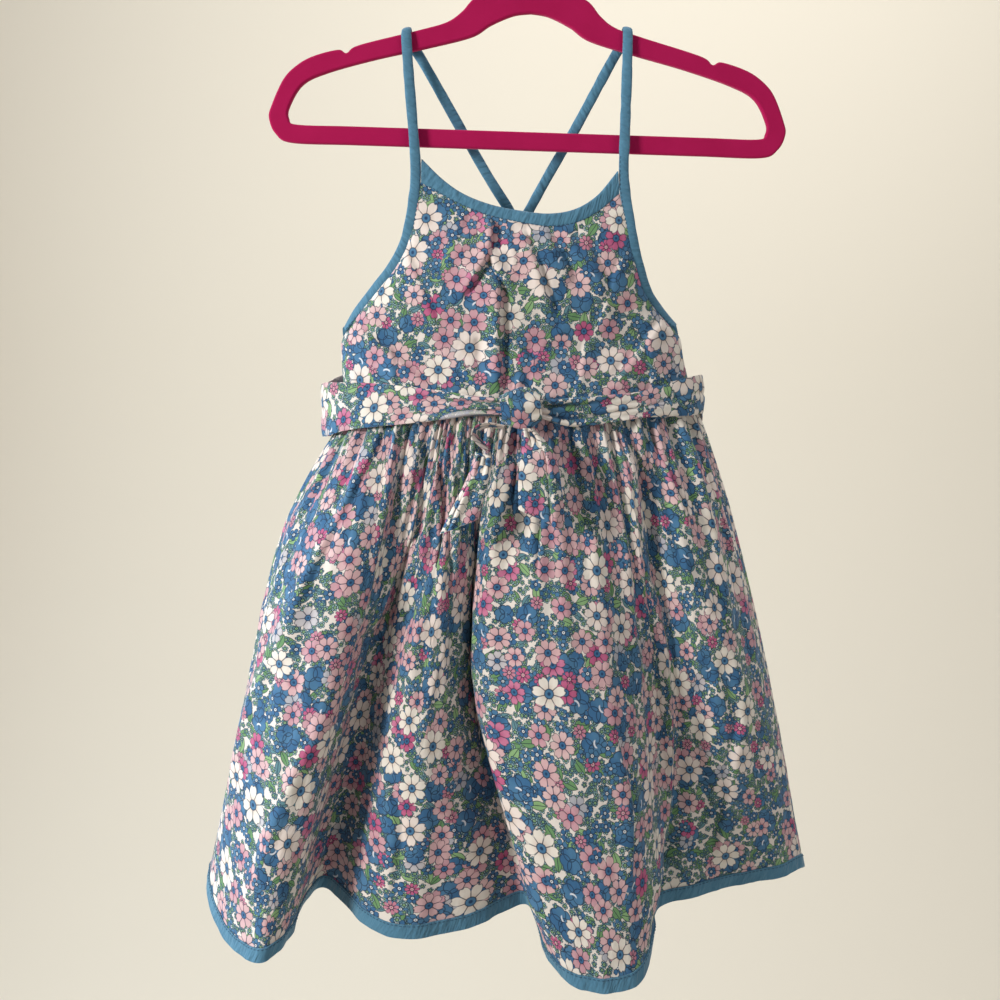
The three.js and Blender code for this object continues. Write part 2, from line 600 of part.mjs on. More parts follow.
// Loose ends. Each has two long edges, given by x, y and z.
const TAILS = {
  left: {
    one: [[-35.5, -73, -369.5], [-41, -76, -386], [-49.5, -78, -403], [-58.5, -80, -422]],
    other: [[-24.5, -76.4, -372.4], [-25.5, -78, -382], [-29, -79, -396], [-33.5, -80, -412]],
  },
  right: {
    one: [[-5, -64.5, -355.1], [-6.5, -73, -373], [-7.8, -76, -389.4], [-7.8, -79, -406]],
    other: [[2.5, -64.5, -355.1], [16, -74, -371], [20.5, -78, -394], [21.8, -80, -420]],
  },
};
const LOOP = {
  near: [[-16.5, -72, -352.4], [-28.8, -76, -350.5], [-36.5, -77.5, -353.5], [-38.2, -78, -359],
    [-33.5, -78, -365], [-27.2, -77.2, -370.4]],
  far: [[-17, -61, -352.6], [-29, -63, -351], [-35.5, -63.5, -354], [-37, -64, -358.5],
    [-34, -66, -363.5], [-29.5, -67.5, -366.5]],
};
const edge = (points) => curve(points.map(([x, y, z]) => at(x, y, z)));

function tailGrid(tail) {
  const ripple = (v, u) => at(0, -1.4 * Math.sin(Math.PI * u) - 0.8 * Math.sin(3 * Math.PI * u), 0);
  return between(edge(tail.one), edge(tail.other), 10, 4, ripple);
}

function material(colour) {
  return new THREE.MeshStandardMaterial({ ...colour, side: THREE.FrontSide });
}

const dress = new THREE.Group();
dress.name = 'toddler_sundress';

function add(name, geometry, colour, x = 0) {
  geometry.translate(x, 0, 0);
  const mesh = new THREE.Mesh(geometry, material(colour));
  mesh.name = name;
  dress.add(mesh);
}

const front = skirtGrids(0, FRONT_FOLDS.length - 1, FRONT_COLUMNS);
const back = skirtGrids(FRONT_FOLDS.length - 1, FOLDS.length, BACK_COLUMNS);
const bandTop = (turn) => backTop(turn, STRAP_HALF + SEAM_GAP);
const bandFoot = (turn) => waistPoint(turn, WAIST.z + SEAM_GAP);
const leftStrap = strapPath(ARMHOLE_LEFT, STRAP_TOP.left, STRAP_BACK_LEFT);
const rightStrap = strapPath(ARMHOLE_RIGHT, STRAP_TOP.right, STRAP_BACK_RIGHT);

add('hanger_frame', hangerFrame(), COLOURS.flock);
add('hanger_hook', hangerHook(), COLOURS.steel);
add('skirt_front', wall(front.panel, CLOTH), COLOURS.floral, HANG_X);
add('skirt_back', wall(back.panel, CLOTH), COLOURS.floral, HANG_X);
add('hem_binding_front', wall(front.hem, BINDING), COLOURS.binding, HANG_X);
add('hem_binding_back', wall(back.hem, BINDING), COLOURS.binding, HANG_X);
add('bodice_front', wall(bodiceFrontGrid(18, 38), CLOTH), COLOURS.floral, HANG_X);
add('bodice_back', wall(backGrid(4, 30, bandTop, bandFoot), CLOTH), COLOURS.floral, HANG_X);
add('back_binding', wall(backGrid(2, 30, (turn) => backTop(turn, -STRAP_HALF), (turn) => backTop(turn,
  STRAP_HALF)), BINDING), COLOURS.binding, HANG_X);
add('neck_binding', wall(between(edge(NECK_UPPER), edge(NECK_LOWER), 28, 2), BINDING),
  COLOURS.binding, HANG_X);
add('strap_left', strip(leftStrap, 10, STRAP_HALF, STRAP_THICK, 6), COLOURS.binding, HANG_X);
add('strap_right', strip(rightStrap, 10, STRAP_HALF, STRAP_THICK, 6), COLOURS.binding, HANG_X);
add('sash_left', wall(sashGrid(SASH, 87.5, -12, 26), SASH_CLOTH), COLOURS.floral, HANG_X);
add('sash_back', wall(sashGrid(SASH, -12.3, -164.8, 30), SASH_CLOTH), COLOURS.floral, HANG_X);
add('sash_right', wall(sashGrid(SASH_RIGHT, 92.5, 194.8, 26), SASH_CLOTH), COLOURS.floral, HANG_X);
add('sash_knot', wall(knotGrid(), SASH_CLOTH, true), COLOURS.floral, HANG_X);
add('sash_loop', wall(between(edge(LOOP.near), edge(LOOP.far), 12, 3), SASH_CLOTH),
  COLOURS.floral, HANG_X);
add('sash_tail_left', wall(tailGrid(TAILS.left), SASH_CLOTH), COLOURS.floral, HANG_X);
add('sash_tail_right', wall(tailGrid(TAILS.right), SASH_CLOTH), COLOURS.floral, HANG_X);

export default dress;
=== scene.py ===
"""Toddler sundress on a flocked hanger: the visual model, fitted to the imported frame.

Tables of sizes are in millimetres and become metres where a mesh is made. +X is the viewer's
right, the front faces -Y, +Z is up, and the origin is the inside top of the hook.
"""
import math

import bpy
import numpy as np
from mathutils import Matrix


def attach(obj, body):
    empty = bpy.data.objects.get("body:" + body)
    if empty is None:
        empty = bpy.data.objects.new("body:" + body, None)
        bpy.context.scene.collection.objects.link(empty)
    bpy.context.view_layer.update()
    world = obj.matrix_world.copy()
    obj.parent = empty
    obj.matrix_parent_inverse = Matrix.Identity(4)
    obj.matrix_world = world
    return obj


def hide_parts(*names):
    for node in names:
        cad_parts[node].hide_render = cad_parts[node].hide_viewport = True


MM = 0.001

# Camera: at the height of the bodice, tipped down a little.
CAMERA_PLACE = (-0.023, -0.8, -0.2991)
CAMERA_TIP = 8.0
CAMERA_LENS = 40.41
CAMERA_SENSOR = 36

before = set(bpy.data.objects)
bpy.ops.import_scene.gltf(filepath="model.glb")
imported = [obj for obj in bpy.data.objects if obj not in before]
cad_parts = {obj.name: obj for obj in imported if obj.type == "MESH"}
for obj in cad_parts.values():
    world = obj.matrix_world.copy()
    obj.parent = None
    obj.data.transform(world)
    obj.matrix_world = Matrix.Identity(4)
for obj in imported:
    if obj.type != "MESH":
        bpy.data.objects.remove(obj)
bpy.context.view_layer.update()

camera_data = bpy.data.cameras.new("camera")
camera_data.lens = CAMERA_LENS
camera_data.sensor_width = CAMERA_SENSOR
camera = bpy.data.objects.new("camera", camera_data)
camera.location = CAMERA_PLACE
camera.rotation_euler = (math.radians(90 - CAMERA_TIP), 0, 0)
bpy.context.scene.collection.objects.link(camera)
bpy.context.scene.camera = camera

# Sizes
CLOTH = 0.7
SASH_CLOTH = 1.3
SEAM_GAP = 0.3
HANG_X = -3.4
WAIST_Z, WAIST_X, WAIST_HALF, WAIST_FRONT, WAIST_BACK = -348, -3.6, 122.8, 50, 45
HEM_BINDING = 8.5
BINDING = 2.3
STRAP_HALF = 3.7
STRAP_THICK = 3.0
HANGER_THICK = 5.5
HANGER_LEAN = 1.8
HOOK_RADIUS = 19
HOOK_WIRE = 1.6


# Curves and tables

def smoothstep(x, low, high):
    t = np.clip((x - low) / (high - low), 0, 1)
    return t * t * (3 - 2 * t)


def lerp(a, b, t):
    return a + (b - a) * t


def curve_points(points, t, closed=False):
    """Centripetal Catmull-Rom through the points, at t from 0 to 1."""
    p = np.asarray(points, float)
    n = len(p)
    t = np.atleast_1d(np.asarray(t, float))
    place = t * (n if closed else n - 1)
    i = np.floor(place).astype(int)
    if not closed:
        i = np.clip(i, 0, n - 2)
        before, after = 2 * p[0] - p[1], 2 * p[-1] - p[-2]
        p = np.vstack([before, p, after])
        quad = [p[i + k] for k in range(4)]
    else:
        quad = [p[(i + k - 1) % n] for k in range(4)]
    w = (place - i)[:, None]
    gap = [np.sum((quad[k + 1] - quad[k]) ** 2, axis=1) ** 0.25 for k in range(3)]
    gap[1] = np.where(gap[1] < 1e-4, 1.0, gap[1])
    gap[0] = np.where(gap[0] < 1e-4, gap[1], gap[0])
    gap[2] = np.where(gap[2] < 1e-4, gap[1], gap[2])
    d0, d1, d2 = (g[:, None] for g in gap)
    a, b, c, d = quad
    m1 = ((b - a) / d0 - (c - a) / (d0 + d1) + (c - b) / d1) * d1
    m2 = ((c - b) / d1 - (d - b) / (d1 + d2) + (d - c) / d2) * d1
    return b + m1 * w + (-3 * b + 3 * c - 2 * m1 - m2) * w**2 + (2 * b - 2 * c + m1 + m2) * w**3


def even_points(points, t, closed=False):
    """The same curve, at shares of its length."""
    fine = np.linspace(0, 1, 1500)
    line = curve_points(points, fine, closed)
    run = np.concatenate([[0], np.cumsum(np.linalg.norm(np.diff(line, axis=0), axis=1))])
    return curve_points(points, np.interp(np.asarray(t) * run[-1], run, fine), closed)


def table_value(places, values, where):
    """Smooth value of a table's column at places between its rows. Values may be arrays."""
    places = np.asarray(places, float)
    values = np.asarray(values, float)
    where = np.clip(np.asarray(where, float), places[0], places[-1])
    i = np.clip(np.searchsorted(places, where, side="left") - 1, 0, len(places) - 2)
    last = len(places) - 1

    def slope(a, b):
        step = (places[b] - places[a]).reshape(np.shape(a) + (1,) * (values.ndim - 1))
        return (values[b] - values[a]) / step

    span = places[i + 1] - places[i]
    t = (where - places[i]) / span
    shape = np.shape(where) + (1,) * (values.ndim - 1)
    t, span = t.reshape(shape), span.reshape(shape)
    m0 = slope(np.maximum(i - 1, 0), i + 1) * span
    m1 = slope(i, np.minimum(i + 2, last)) * span
    return ((2 * t**3 - 3 * t**2 + 1) * values[i] + (t**3 - 2 * t**2 + t) * m0
            + (3 * t**2 - 2 * t**3) * values[i + 1] + (t**3 - t**2) * m1)


def noise(x, y, seed):
    """Smooth noise from -1 to 1 with one hill or hollow to a unit square."""
    x, y = np.broadcast_arrays(np.asarray(x, float), np.asarray(y, float))
    i, j = np.floor(x), np.floor(y)
    u, v = x - i, y - j
    u, v = u * u * (3 - 2 * u), v * v * (3 - 2 * v)

    def corner(a, b):
        h = np.sin(a * 127.1 + b * 311.7 + seed * 74.7) * 43758.5453
        return 2 * (h - np.floor(h)) - 1

    low = lerp(corner(i, j), corner(i + 1, j), u)
    high = lerp(corner(i, j + 1), corner(i + 1, j + 1), u)
    return lerp(low, high, v)


def creases(x, y, seed):
    """Sharp-topped noise from 0 to 1, like small creases in crisp cotton."""
    return (1 - np.abs(noise(x, y, seed))) ** 3


def unit(v):
    return v / np.maximum(np.linalg.norm(v, axis=-1, keepdims=True), 1e-12)


def grid_normals(grid, ring=False):
    if ring:
        along = np.roll(grid, -1, axis=1) - np.roll(grid, 1, axis=1)
    else:
        along = np.gradient(grid, axis=1)
    return unit(np.cross(np.gradient(grid, axis=0), along))


def grid_run(grid, axis):
    """Distance along a grid's lines."""
    step = np.linalg.norm(np.diff(grid, axis=axis), axis=-1)
    start = np.zeros_like(np.take(step, [0], axis=axis))
    return np.concatenate([start, np.cumsum(step, axis=axis)], axis=axis)


def fold_profile(s, lean):
    """Height and sideways shift of a fold, at s widths to the right of its crest.

    A fold that leans is steep on that side, with a hollow beside it.
    """
    steep = s * lean > 0
    height = np.exp(-((s / np.where(steep, 0.36, 1.0)) ** 2))
    hollow = np.where(steep, 0.4 * np.exp(-(((np.abs(s) - 0.72) / 0.3) ** 2)), 0)
    return height - hollow, 0.25 * lean * height


# Meshes

def shell(name, grid, uv, thickness, materials, ring=False, shift=HANG_X, round_edge=False):
    """A closed thin shell on a grid of points in millimetres.

    The face along the grid's normals has the first material, the other face the second.
    Thickness is one number or one for each point; round_edge thins it towards the row ends.
    """
    grid = np.asarray(grid, float) + [shift, 0, 0]
    rows, columns = grid.shape[:2]
    half = np.broadcast_to(np.asarray(thickness, float) / 2, (rows, columns)).copy()
    if round_edge:
        across = np.linspace(-1, 1, columns)
        half = half * np.sqrt(np.clip(1.03 - across**4, 0.03, 1))
    normal = grid_normals(grid, ring) * half[..., None]
    points = np.concatenate([(grid + normal).reshape(-1, 3), (grid - normal).reshape(-1, 3)]) * MM
    index = np.arange(rows * columns).reshape(rows, columns)
    if ring:
        index = np.concatenate([index, index[:, :1]], axis=1)
        wide_uv = np.concatenate([uv, uv[:, :1] + (uv[:, -1:] - uv[:, -2:-1])], axis=1)
    else:
        wide_uv = uv
    sheet = rows * columns
    a, b = index[:-1, :-1], index[:-1, 1:]
    c, d = index[1:, 1:], index[1:, :-1]
    front = np.stack([a, b, c, d], -1).reshape(-1, 4)
    back = np.stack([d, c, b, a], -1).reshape(-1, 4) + sheet
    u = wide_uv
    corner = np.stack([u[:-1, :-1], u[:-1, 1:], u[1:, 1:], u[1:, :-1]], 2).reshape(-1, 4, 2)
    faces, spots = [front, back], [corner, corner[:, ::-1]]

    def rim(line, line_uv):
        p, q = line[:-1], line[1:]
        faces.append(np.stack([q, p, p + sheet, q + sheet], -1))
        pu, qu = line_uv[:-1], line_uv[1:]
        spots.append(np.stack([qu, pu, pu, qu], 1))

    rim(index[0], u[0])
    rim(index[-1][::-1], u[-1][::-1])
    if not ring:
        rim(index[::-1, 0], u[::-1, 0])
        rim(index[:, -1], u[:, -1])
    faces, spots = np.concatenate(faces), np.concatenate(spots)
    volume_sign = np.einsum("ij,ij->i", points[faces[:, 0]],
                            np.cross(points[faces[:, 1]], points[faces[:, 2]])
                            + np.cross(points[faces[:, 2]], points[faces[:, 3]])).sum()
    turned = volume_sign < 0
    if turned:
        faces, spots = faces[:, ::-1], spots[:, ::-1]
    mesh = bpy.data.meshes.new(name)
    mesh.from_pydata(points.tolist(), [], faces.tolist())
    layer = mesh.uv_layers.new(name="UVMap")
    layer.data.foreach_set("uv", (spots.reshape(-1) * MM).astype(np.float32))
    slot = np.zeros(len(faces), np.int32)
    slot[len(front):] = 1
    mesh.polygons.foreach_set("material_index", slot)
    for material in materials:
        mesh.materials.append(material)
    mesh.shade_smooth()
    mesh.set_sharp_from_angle(angle=math.radians(62))
    mesh.update()
    piece = bpy.data.objects.new(name, mesh)
    bpy.context.scene.collection.objects.link(piece)
    return piece


def tube(name, centres, across, out, half, thick, sides, material, shift=HANG_X):
    """A closed oval tube through centres; across and out span its section."""
    count = len(centres)
    angle = 2 * np.pi * np.arange(sides) / sides
    half = np.broadcast_to(half, (count,))[:, None]
    thick = np.broadcast_to(thick, (count,))[:, None]
    section = centres[:, None] + across[:, None] * (half * np.cos(angle))[..., None]
    section = section + out[:, None] * (thick / 2 * np.sin(angle))[..., None] + [shift, 0, 0]
    run = np.concatenate([[0], np.cumsum(np.linalg.norm(np.diff(centres, axis=0), axis=1))])
    index = np.arange(count * sides).reshape(count, sides)
    faces, spots = [], []
    for s in range(sides):
        n = (s + 1) % sides
        faces.append(np.stack([index[:-1, s], index[:-1, n], index[1:, n], index[1:, s]], -1))
        v0, v1 = s / sides * 20, (s + 1) / sides * 20
        spots.append(np.stack([np.stack([run[:-1], 0 * run[:-1] + v0], -1),
                               np.stack([run[:-1], 0 * run[:-1] + v1], -1),
                               np.stack([run[1:], 0 * run[1:] + v1], -1),
                               np.stack([run[1:], 0 * run[1:] + v0], -1)], 1))
    faces = np.concatenate(faces)
    spots = np.concatenate(spots).reshape(-1, 2)
    ends = [index[0][::-1].tolist(), index[-1].tolist()]
    mesh = bpy.data.meshes.new(name)
    mesh.from_pydata((section.reshape(-1, 3) * MM).tolist(), [], faces.tolist() + ends)
    layer = mesh.uv_layers.new(name="UVMap")
    flat = np.zeros((len(mesh.loops), 2))
    flat[:len(spots)] = spots * MM
    layer.data.foreach_set("uv", flat.reshape(-1).astype(np.float32))
    mesh.materials.append(material)
    mesh.shade_smooth()
    mesh.set_sharp_from_angle(angle=math.radians(62))
    piece = bpy.data.objects.new(name, mesh)
    bpy.context.scene.collection.objects.link(piece)
    return piece


def stitch_row(name, line, out, shift=HANG_X, pitch=3.0, length=2.1, radius=0.3):
    """Short threads end to end on a line of points, each sunk at its ends; out faces outwards."""
    run = np.concatenate([[0], np.cumsum(np.linalg.norm(np.diff(line, axis=0), axis=1))])
    count = int(run[-1] / pitch)
    middle = (np.arange(count) + 0.5) * run[-1] / count
    station = np.array([-0.5, -0.3, 0.0, 0.3, 0.5])
    place = middle[:, None] + station * length

    def along_line(values):
        return np.stack([np.interp(place, run, values[:, k]) for k in range(3)], -1)

    centre, face = along_line(line) + [shift, 0, 0], unit(along_line(out))
    along = unit(np.gradient(centre, axis=1))
    side = unit(np.cross(face, along))
    rise = radius * np.array([-0.9, 0.2, 0.55, 0.2, -0.9])[None, :, None]
    angle = 2 * np.pi * np.arange(6) / 6
    ring = (centre + face * rise)[:, :, None] + radius * (
        side[:, :, None] * np.cos(angle)[:, None] + face[:, :, None] * np.sin(angle)[:, None])
    index = np.arange(count * 30).reshape(count, 5, 6)
    nxt = np.roll(index, -1, axis=2)
    walls = np.stack([index[:, :-1], nxt[:, :-1], nxt[:, 1:], index[:, 1:]], -1).reshape(-1, 4)
    ends = np.concatenate([index[:, 0, ::-1], index[:, -1]])
    mesh = bpy.data.meshes.new(name)
    mesh.from_pydata((ring.reshape(-1, 3) * MM).tolist(), [], walls.tolist() + ends.tolist())
    # The thread's dark colour is partly painted shade: it also stands for the shadow line along the
    # binding's edge.
    mesh.materials.append(thread)
    mesh.shade_smooth()
    piece = bpy.data.objects.new(name, mesh)
    bpy.context.scene.collection.objects.link(piece)
    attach(piece, "root")


def cloth_piece(piece, node):
    """Ties a piece of cloth to the root body and hides the imported node it stands for."""
    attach(piece, "root")
    if node:
        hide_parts(node)


# Materials

class Tree:
    """Short names for making shader nodes."""

    def __init__(self, tree):
        self.tree = tree

    def node(self, kind, **settings):
        node = self.tree.nodes.new(kind)
        for key, value in settings.items():
            setattr(node, key, value)
        return node

    def put(self, socket, value):
        if isinstance(value, bpy.types.NodeSocket):
            self.tree.links.new(value, socket)
        elif isinstance(value, (tuple, list)) and len(value) == 3 and socket.type == "RGBA":
            socket.default_value = (*value, 1)
        else:
            socket.default_value = value

    def math(self, operation, a, b=0.0, c=0.0, clamp=False):
        node = self.node("ShaderNodeMath", operation=operation, use_clamp=clamp)
        for socket, value in zip(node.inputs, (a, b, c)):
            self.put(socket, value)
        return node.outputs[0]

    def vector(self, operation, a, b=(0, 0, 0)):
        node = self.node("ShaderNodeVectorMath", operation=operation)
        self.put(node.inputs[0], a)
        self.put(node.inputs[1], b)
        return node.outputs["Value" if operation in ("LENGTH", "DOT_PRODUCT") else "Vector"]

    def scaled(self, a, factor):
        node = self.node("ShaderNodeVectorMath", operation="SCALE")
        self.put(node.inputs[0], a)
        self.put(node.inputs["Scale"], factor)
        return node.outputs["Vector"]

    def turned(self, a, degrees):
        node = self.node("ShaderNodeVectorRotate", rotation_type="Z_AXIS")
        self.put(node.inputs["Vector"], a)
        node.inputs["Angle"].default_value = math.radians(degrees)
        return node.outputs["Vector"]

    def mix(self, share, a, b, blend="MIX"):
        node = self.node("ShaderNodeMix", data_type="RGBA", blend_type=blend)
        self.put(node.inputs[0], share)
        self.put(node.inputs[6], a)
        self.put(node.inputs[7], b)
        return node.outputs[2]

    def below(self, value, edge, soft=0.02):
        """1 where value is under edge, with a soft step."""
        node = self.node("ShaderNodeMapRange", interpolation_type="SMOOTHSTEP")
        self.put(node.inputs["Value"], self.math("SUBTRACT", value, edge))
        node.inputs["From Min"].default_value = -soft
        node.inputs["From Max"].default_value = soft
        node.inputs["To Min"].default_value = 1
        node.inputs["To Max"].default_value = 0
        return node.outputs["Result"]

    def noise(self, vector, scale, detail=2.0, dims="3D"):
        node = self.node("ShaderNodeTexNoise", noise_dimensions=dims)
        self.put(node.inputs["Vector"], vector)
        node.inputs["Scale"].default_value = scale
        node.inputs["Detail"].default_value = detail
        return node.outputs["Fac"]

    def split(self, vector):
        node = self.node("ShaderNodeSeparateXYZ")
        self.put(node.inputs[0], vector)
        return node.outputs[0], node.outputs[1], node.outputs[2]


def new_group(name, inputs, outputs):
    group = bpy.data.node_groups.new(name, "ShaderNodeTree")
    for kind, label, default in inputs:
        socket = group.interface.new_socket(name=label, in_out="INPUT", socket_type=kind)
        if default is not None:
            socket.default_value = default
    for kind, label in outputs:
        group.interface.new_socket(name=label, in_out="OUTPUT", socket_type=kind)
    t = Tree(group)
    source, sink = t.node("NodeGroupInput"), t.node("NodeGroupOutput")
    return t, source.outputs, sink.inputs


VALUE, VECTOR, COLOUR = "NodeSocketFloat", "NodeSocketVector", "NodeSocketColor"
INK = (0.008, 0.015, 0.036)


def cell_place(t, s):
    """The nearest motif's centre: offset from it, distance, turn, random values and presence."""
    scaled = t.scaled(t.vector("ADD", s["Vector"], s["Shift"]), t.math("DIVIDE", 1.0, s["Cell"]))
    cells = t.node("ShaderNodeTexVoronoi", voronoi_dimensions="2D", feature="F1")
    t.put(cells.inputs["Vector"], scaled)
    cells.inputs["Scale"].default_value = 1
    t.put(cells.inputs["Randomness"], s["Scatter"])
    r, g, b = t.split(cells.outputs["Color"])
    x, y, _ = t.split(t.vector("SUBTRACT", scaled, cells.outputs["Position"]))
    distance = t.math("SQRT", t.math("ADD", t.math("MULTIPLY", x, x), t.math("MULTIPLY", y, y)))
    angle = t.math("ADD", t.math("ARCTAN2", y, x), t.math("MULTIPLY", r, 6.283))
    grown = t.noise(t.vector("ADD", cells.outputs["Position"], (7.3, 2.9, 0)), 0.5, 0.0, "2D")
    grouped = t.math("MULTIPLY", t.math("SUBTRACT", grown, 0.5), s["Grouping"])
    chance = t.math("ADD", s["Share"], grouped)
    present = t.math("LESS_THAN", g, chance)
    return {"distance": distance, "angle": angle, "r": r, "b": b, "present": present,
            "line": t.math("DIVIDE", s["Line"], s["Cell"])}


CELL_INPUTS = [
    (VECTOR, "Vector", None), (VECTOR, "Shift", None), (VALUE, "Cell", 0.02),
    (VALUE, "Scatter", 0.7), (VALUE, "Share", 0.5), (VALUE, "Grouping", 0.0),
    (VALUE, "Line", 0.0005), (VALUE, "Radius", 0.35),
]


def blossom_group():
    """Open flower: rounded petals with a small notch, dark outlines, a ringed centre."""
    t, s, out = new_group("blossom", CELL_INPUTS + [
        (VALUE, "Petals", 6.0), (VALUE, "Heart", 0.26), (VALUE, "Waist", 0.6),
        (COLOUR, "Petal", (1, 1, 1, 1)), (COLOUR, "Other petal", (1, 1, 1, 1)),
        (COLOUR, "Throat", (1, 1, 1, 1)), (COLOUR, "Centre", (0, 0, 1, 1)),
        (COLOUR, "Dot", (0, 0, 0, 1)),
    ], [(COLOUR, "Color"), (VALUE, "Mask")])
    c = cell_place(t, s)
    turn = t.math("MULTIPLY", c["angle"], t.math("MULTIPLY", s["Petals"], 0.5))
    lobe = t.math("ABSOLUTE", t.math("COSINE", turn))
    radius = t.math("MULTIPLY", s["Radius"], t.math("ADD", 0.86, t.math("MULTIPLY", c["b"], 0.24)))
    rounded = t.math("POWER", lobe, 0.5)
    reach = t.math(
        "ADD", s["Waist"], t.math("MULTIPLY", rounded, t.math("SUBTRACT", 1, s["Waist"])))
    notch = t.math("MULTIPLY", t.math("SUBTRACT", 1, t.below(lobe, 0.965, 0.03)), 0.07)
    edge = t.math("MULTIPLY", radius, t.math("SUBTRACT", reach, notch))
    inside = t.below(c["distance"], edge, 0.012)
    rim = t.math("SUBTRACT", 1, t.below(c["distance"], t.math("SUBTRACT", edge, c["line"]), 0.012))
    cleft = t.math(
        "MULTIPLY", t.math("DIVIDE", t.math("MULTIPLY", c["distance"], 2), s["Petals"]), lobe)
    parting = t.below(cleft, t.math("MULTIPLY", c["line"], 0.55), 0.008)
    heart = t.math("MULTIPLY", radius, s["Heart"])
    throat = t.below(c["distance"], t.math("MULTIPLY", heart, 1.75), 0.07)
    petal = t.mix(t.math("GREATER_THAN", c["r"], 0.5), s["Petal"], s["Other petal"])
    vein = t.math("MULTIPLY", t.math("COSINE", t.math("MULTIPLY", turn, 10)), 0.5)
    veined = t.math("MULTIPLY", t.math("ADD", 0.5, vein), throat)
    petal = t.mix(t.math("MULTIPLY", throat, 0.55), petal, s["Throat"])
    petal = t.mix(t.math("MULTIPLY", veined, 0.35), petal, s["Throat"])
    ink = t.math("MAXIMUM", rim, parting)
    petal = t.mix(t.math("MULTIPLY", ink, 0.92), petal, (*INK, 1))
    ring = t.below(c["distance"], t.math("ADD", heart, c["line"]), 0.012)
    colour = t.mix(ring, petal, (*INK, 1))
    colour = t.mix(t.below(c["distance"], heart, 0.012), colour, s["Centre"])
    colour = t.mix(t.below(c["distance"], t.math("MULTIPLY", heart, 0.42), 0.012), colour, s["Dot"])
    t.put(out["Color"], colour)
    t.put(out["Mask"], t.math("MULTIPLY", inside, c["present"]))
    return t.tree


def leaf_group():
    """Pointed leaf with a midrib and side veins."""
    t, s, out = new_group("leaf", CELL_INPUTS + [
        (VALUE, "Width", 0.42), (COLOUR, "Leaf", (0, 1, 0, 1)),
        (COLOUR, "Other leaf", (0, 1, 0, 1)),
    ], [(COLOUR, "Color"), (VALUE, "Mask")])
    c = cell_place(t, s)
    along = t.math("MULTIPLY", c["distance"], t.math("COSINE", c["angle"]))
    side = t.math("MULTIPLY", c["distance"], t.math("SINE", c["angle"]))
    share = t.math("DIVIDE", along, s["Radius"])
    width = t.math("MULTIPLY", t.math("SUBTRACT", 1, t.math("MULTIPLY", share, share)),
                   t.math("MULTIPLY", s["Radius"], s["Width"]))
    off = t.math("ABSOLUTE", side)
    inside = t.below(off, width, 0.012)
    ink = t.math("SUBTRACT", 1, t.below(off, t.math("SUBTRACT", width, c["line"]), 0.012))
    rib = t.below(off, t.math("MULTIPLY", c["line"], 0.5), 0.008)
    slant = t.math("ADD", t.math("MULTIPLY", along, 40), t.math("MULTIPLY", off, -34))
    veins = t.math("MULTIPLY", t.below(t.math("ABSOLUTE", t.math("SINE", slant)), 0.22, 0.1), 0.5)
    ink = t.math("MAXIMUM", t.math("MAXIMUM", ink, rib), veins)
    colour = t.mix(t.math("GREATER_THAN", c["b"], 0.5), s["Leaf"], s["Other leaf"])
    t.put(out["Color"], t.mix(t.math("MULTIPLY", ink, 0.85), colour, (*INK, 1)))
    t.put(out["Mask"], t.math("MULTIPLY", inside, c["present"]))
    return t.tree


def poppy_group():
    """Cupped flower seen from the side: scalloped edge, overlapping petals and a pale slit."""
    t, s, out = new_group("poppy", CELL_INPUTS + [
        (COLOUR, "Petal", (0, 0, 1, 1)), (COLOUR, "Shade", (0, 0, 1, 1)),
        (COLOUR, "Slit", (1, 1, 1, 1)),
    ], [(COLOUR, "Color"), (VALUE, "Mask")])
    c = cell_place(t, s)
    away = t.math("DIVIDE", c["distance"], s["Radius"])
    line = t.math("DIVIDE", c["line"], s["Radius"])
    lobe = t.math("SQRT", t.math("ABSOLUTE", t.math("COSINE", t.math("MULTIPLY", c["angle"], 3.5))))
    edge = t.math("ADD", 0.82, t.math("MULTIPLY", lobe, 0.18))
    inside = t.below(away, edge, 0.03)
    ink = t.math("SUBTRACT", 1, t.below(away, t.math("SUBTRACT", edge, line), 0.03))
    x = t.math("MULTIPLY", away, t.math("COSINE", c["angle"]))
    y = t.math("MULTIPLY", away, t.math("SINE", c["angle"]))
    for place_x, place_y, size in ((0.5, 0.12, 0.6), (-0.5, 0.1, 0.58), (0.05, -0.62, 0.62)):
        from_x, from_y = t.math("SUBTRACT", x, place_x), t.math("SUBTRACT", y, place_y)
        reach = t.math("SQRT", t.math("ADD", t.math("MULTIPLY", from_x, from_x),
                                      t.math("MULTIPLY", from_y, from_y)))
        arc = t.math("ABSOLUTE", t.math("SUBTRACT", reach, size))
        ink = t.math("MAXIMUM", ink, t.below(arc, t.math("MULTIPLY", line, 0.45), 0.02))
    colour = t.mix(t.below(y, -0.1, 0.3), s["Petal"], s["Shade"])
    colour = t.mix(t.math("MULTIPLY", ink, 0.85), colour, (*INK, 1))
    bow = t.math(
        "SUBTRACT", t.math("SUBTRACT", y, 0.1), t.math("MULTIPLY", t.math("MULTIPLY", x, x), 1.3))
    slit = t.math("MULTIPLY", t.below(t.math("ABSOLUTE", bow), 0.07, 0.03),
                  t.below(t.math("ABSOLUTE", x), 0.3, 0.05))
    slit = t.math("MULTIPLY", slit, t.math("GREATER_THAN", c["b"], 0.4))
    t.put(out["Color"], t.mix(slit, colour, s["Slit"]))
    t.put(out["Mask"], t.math("MULTIPLY", inside, c["present"]))
    return t.tree


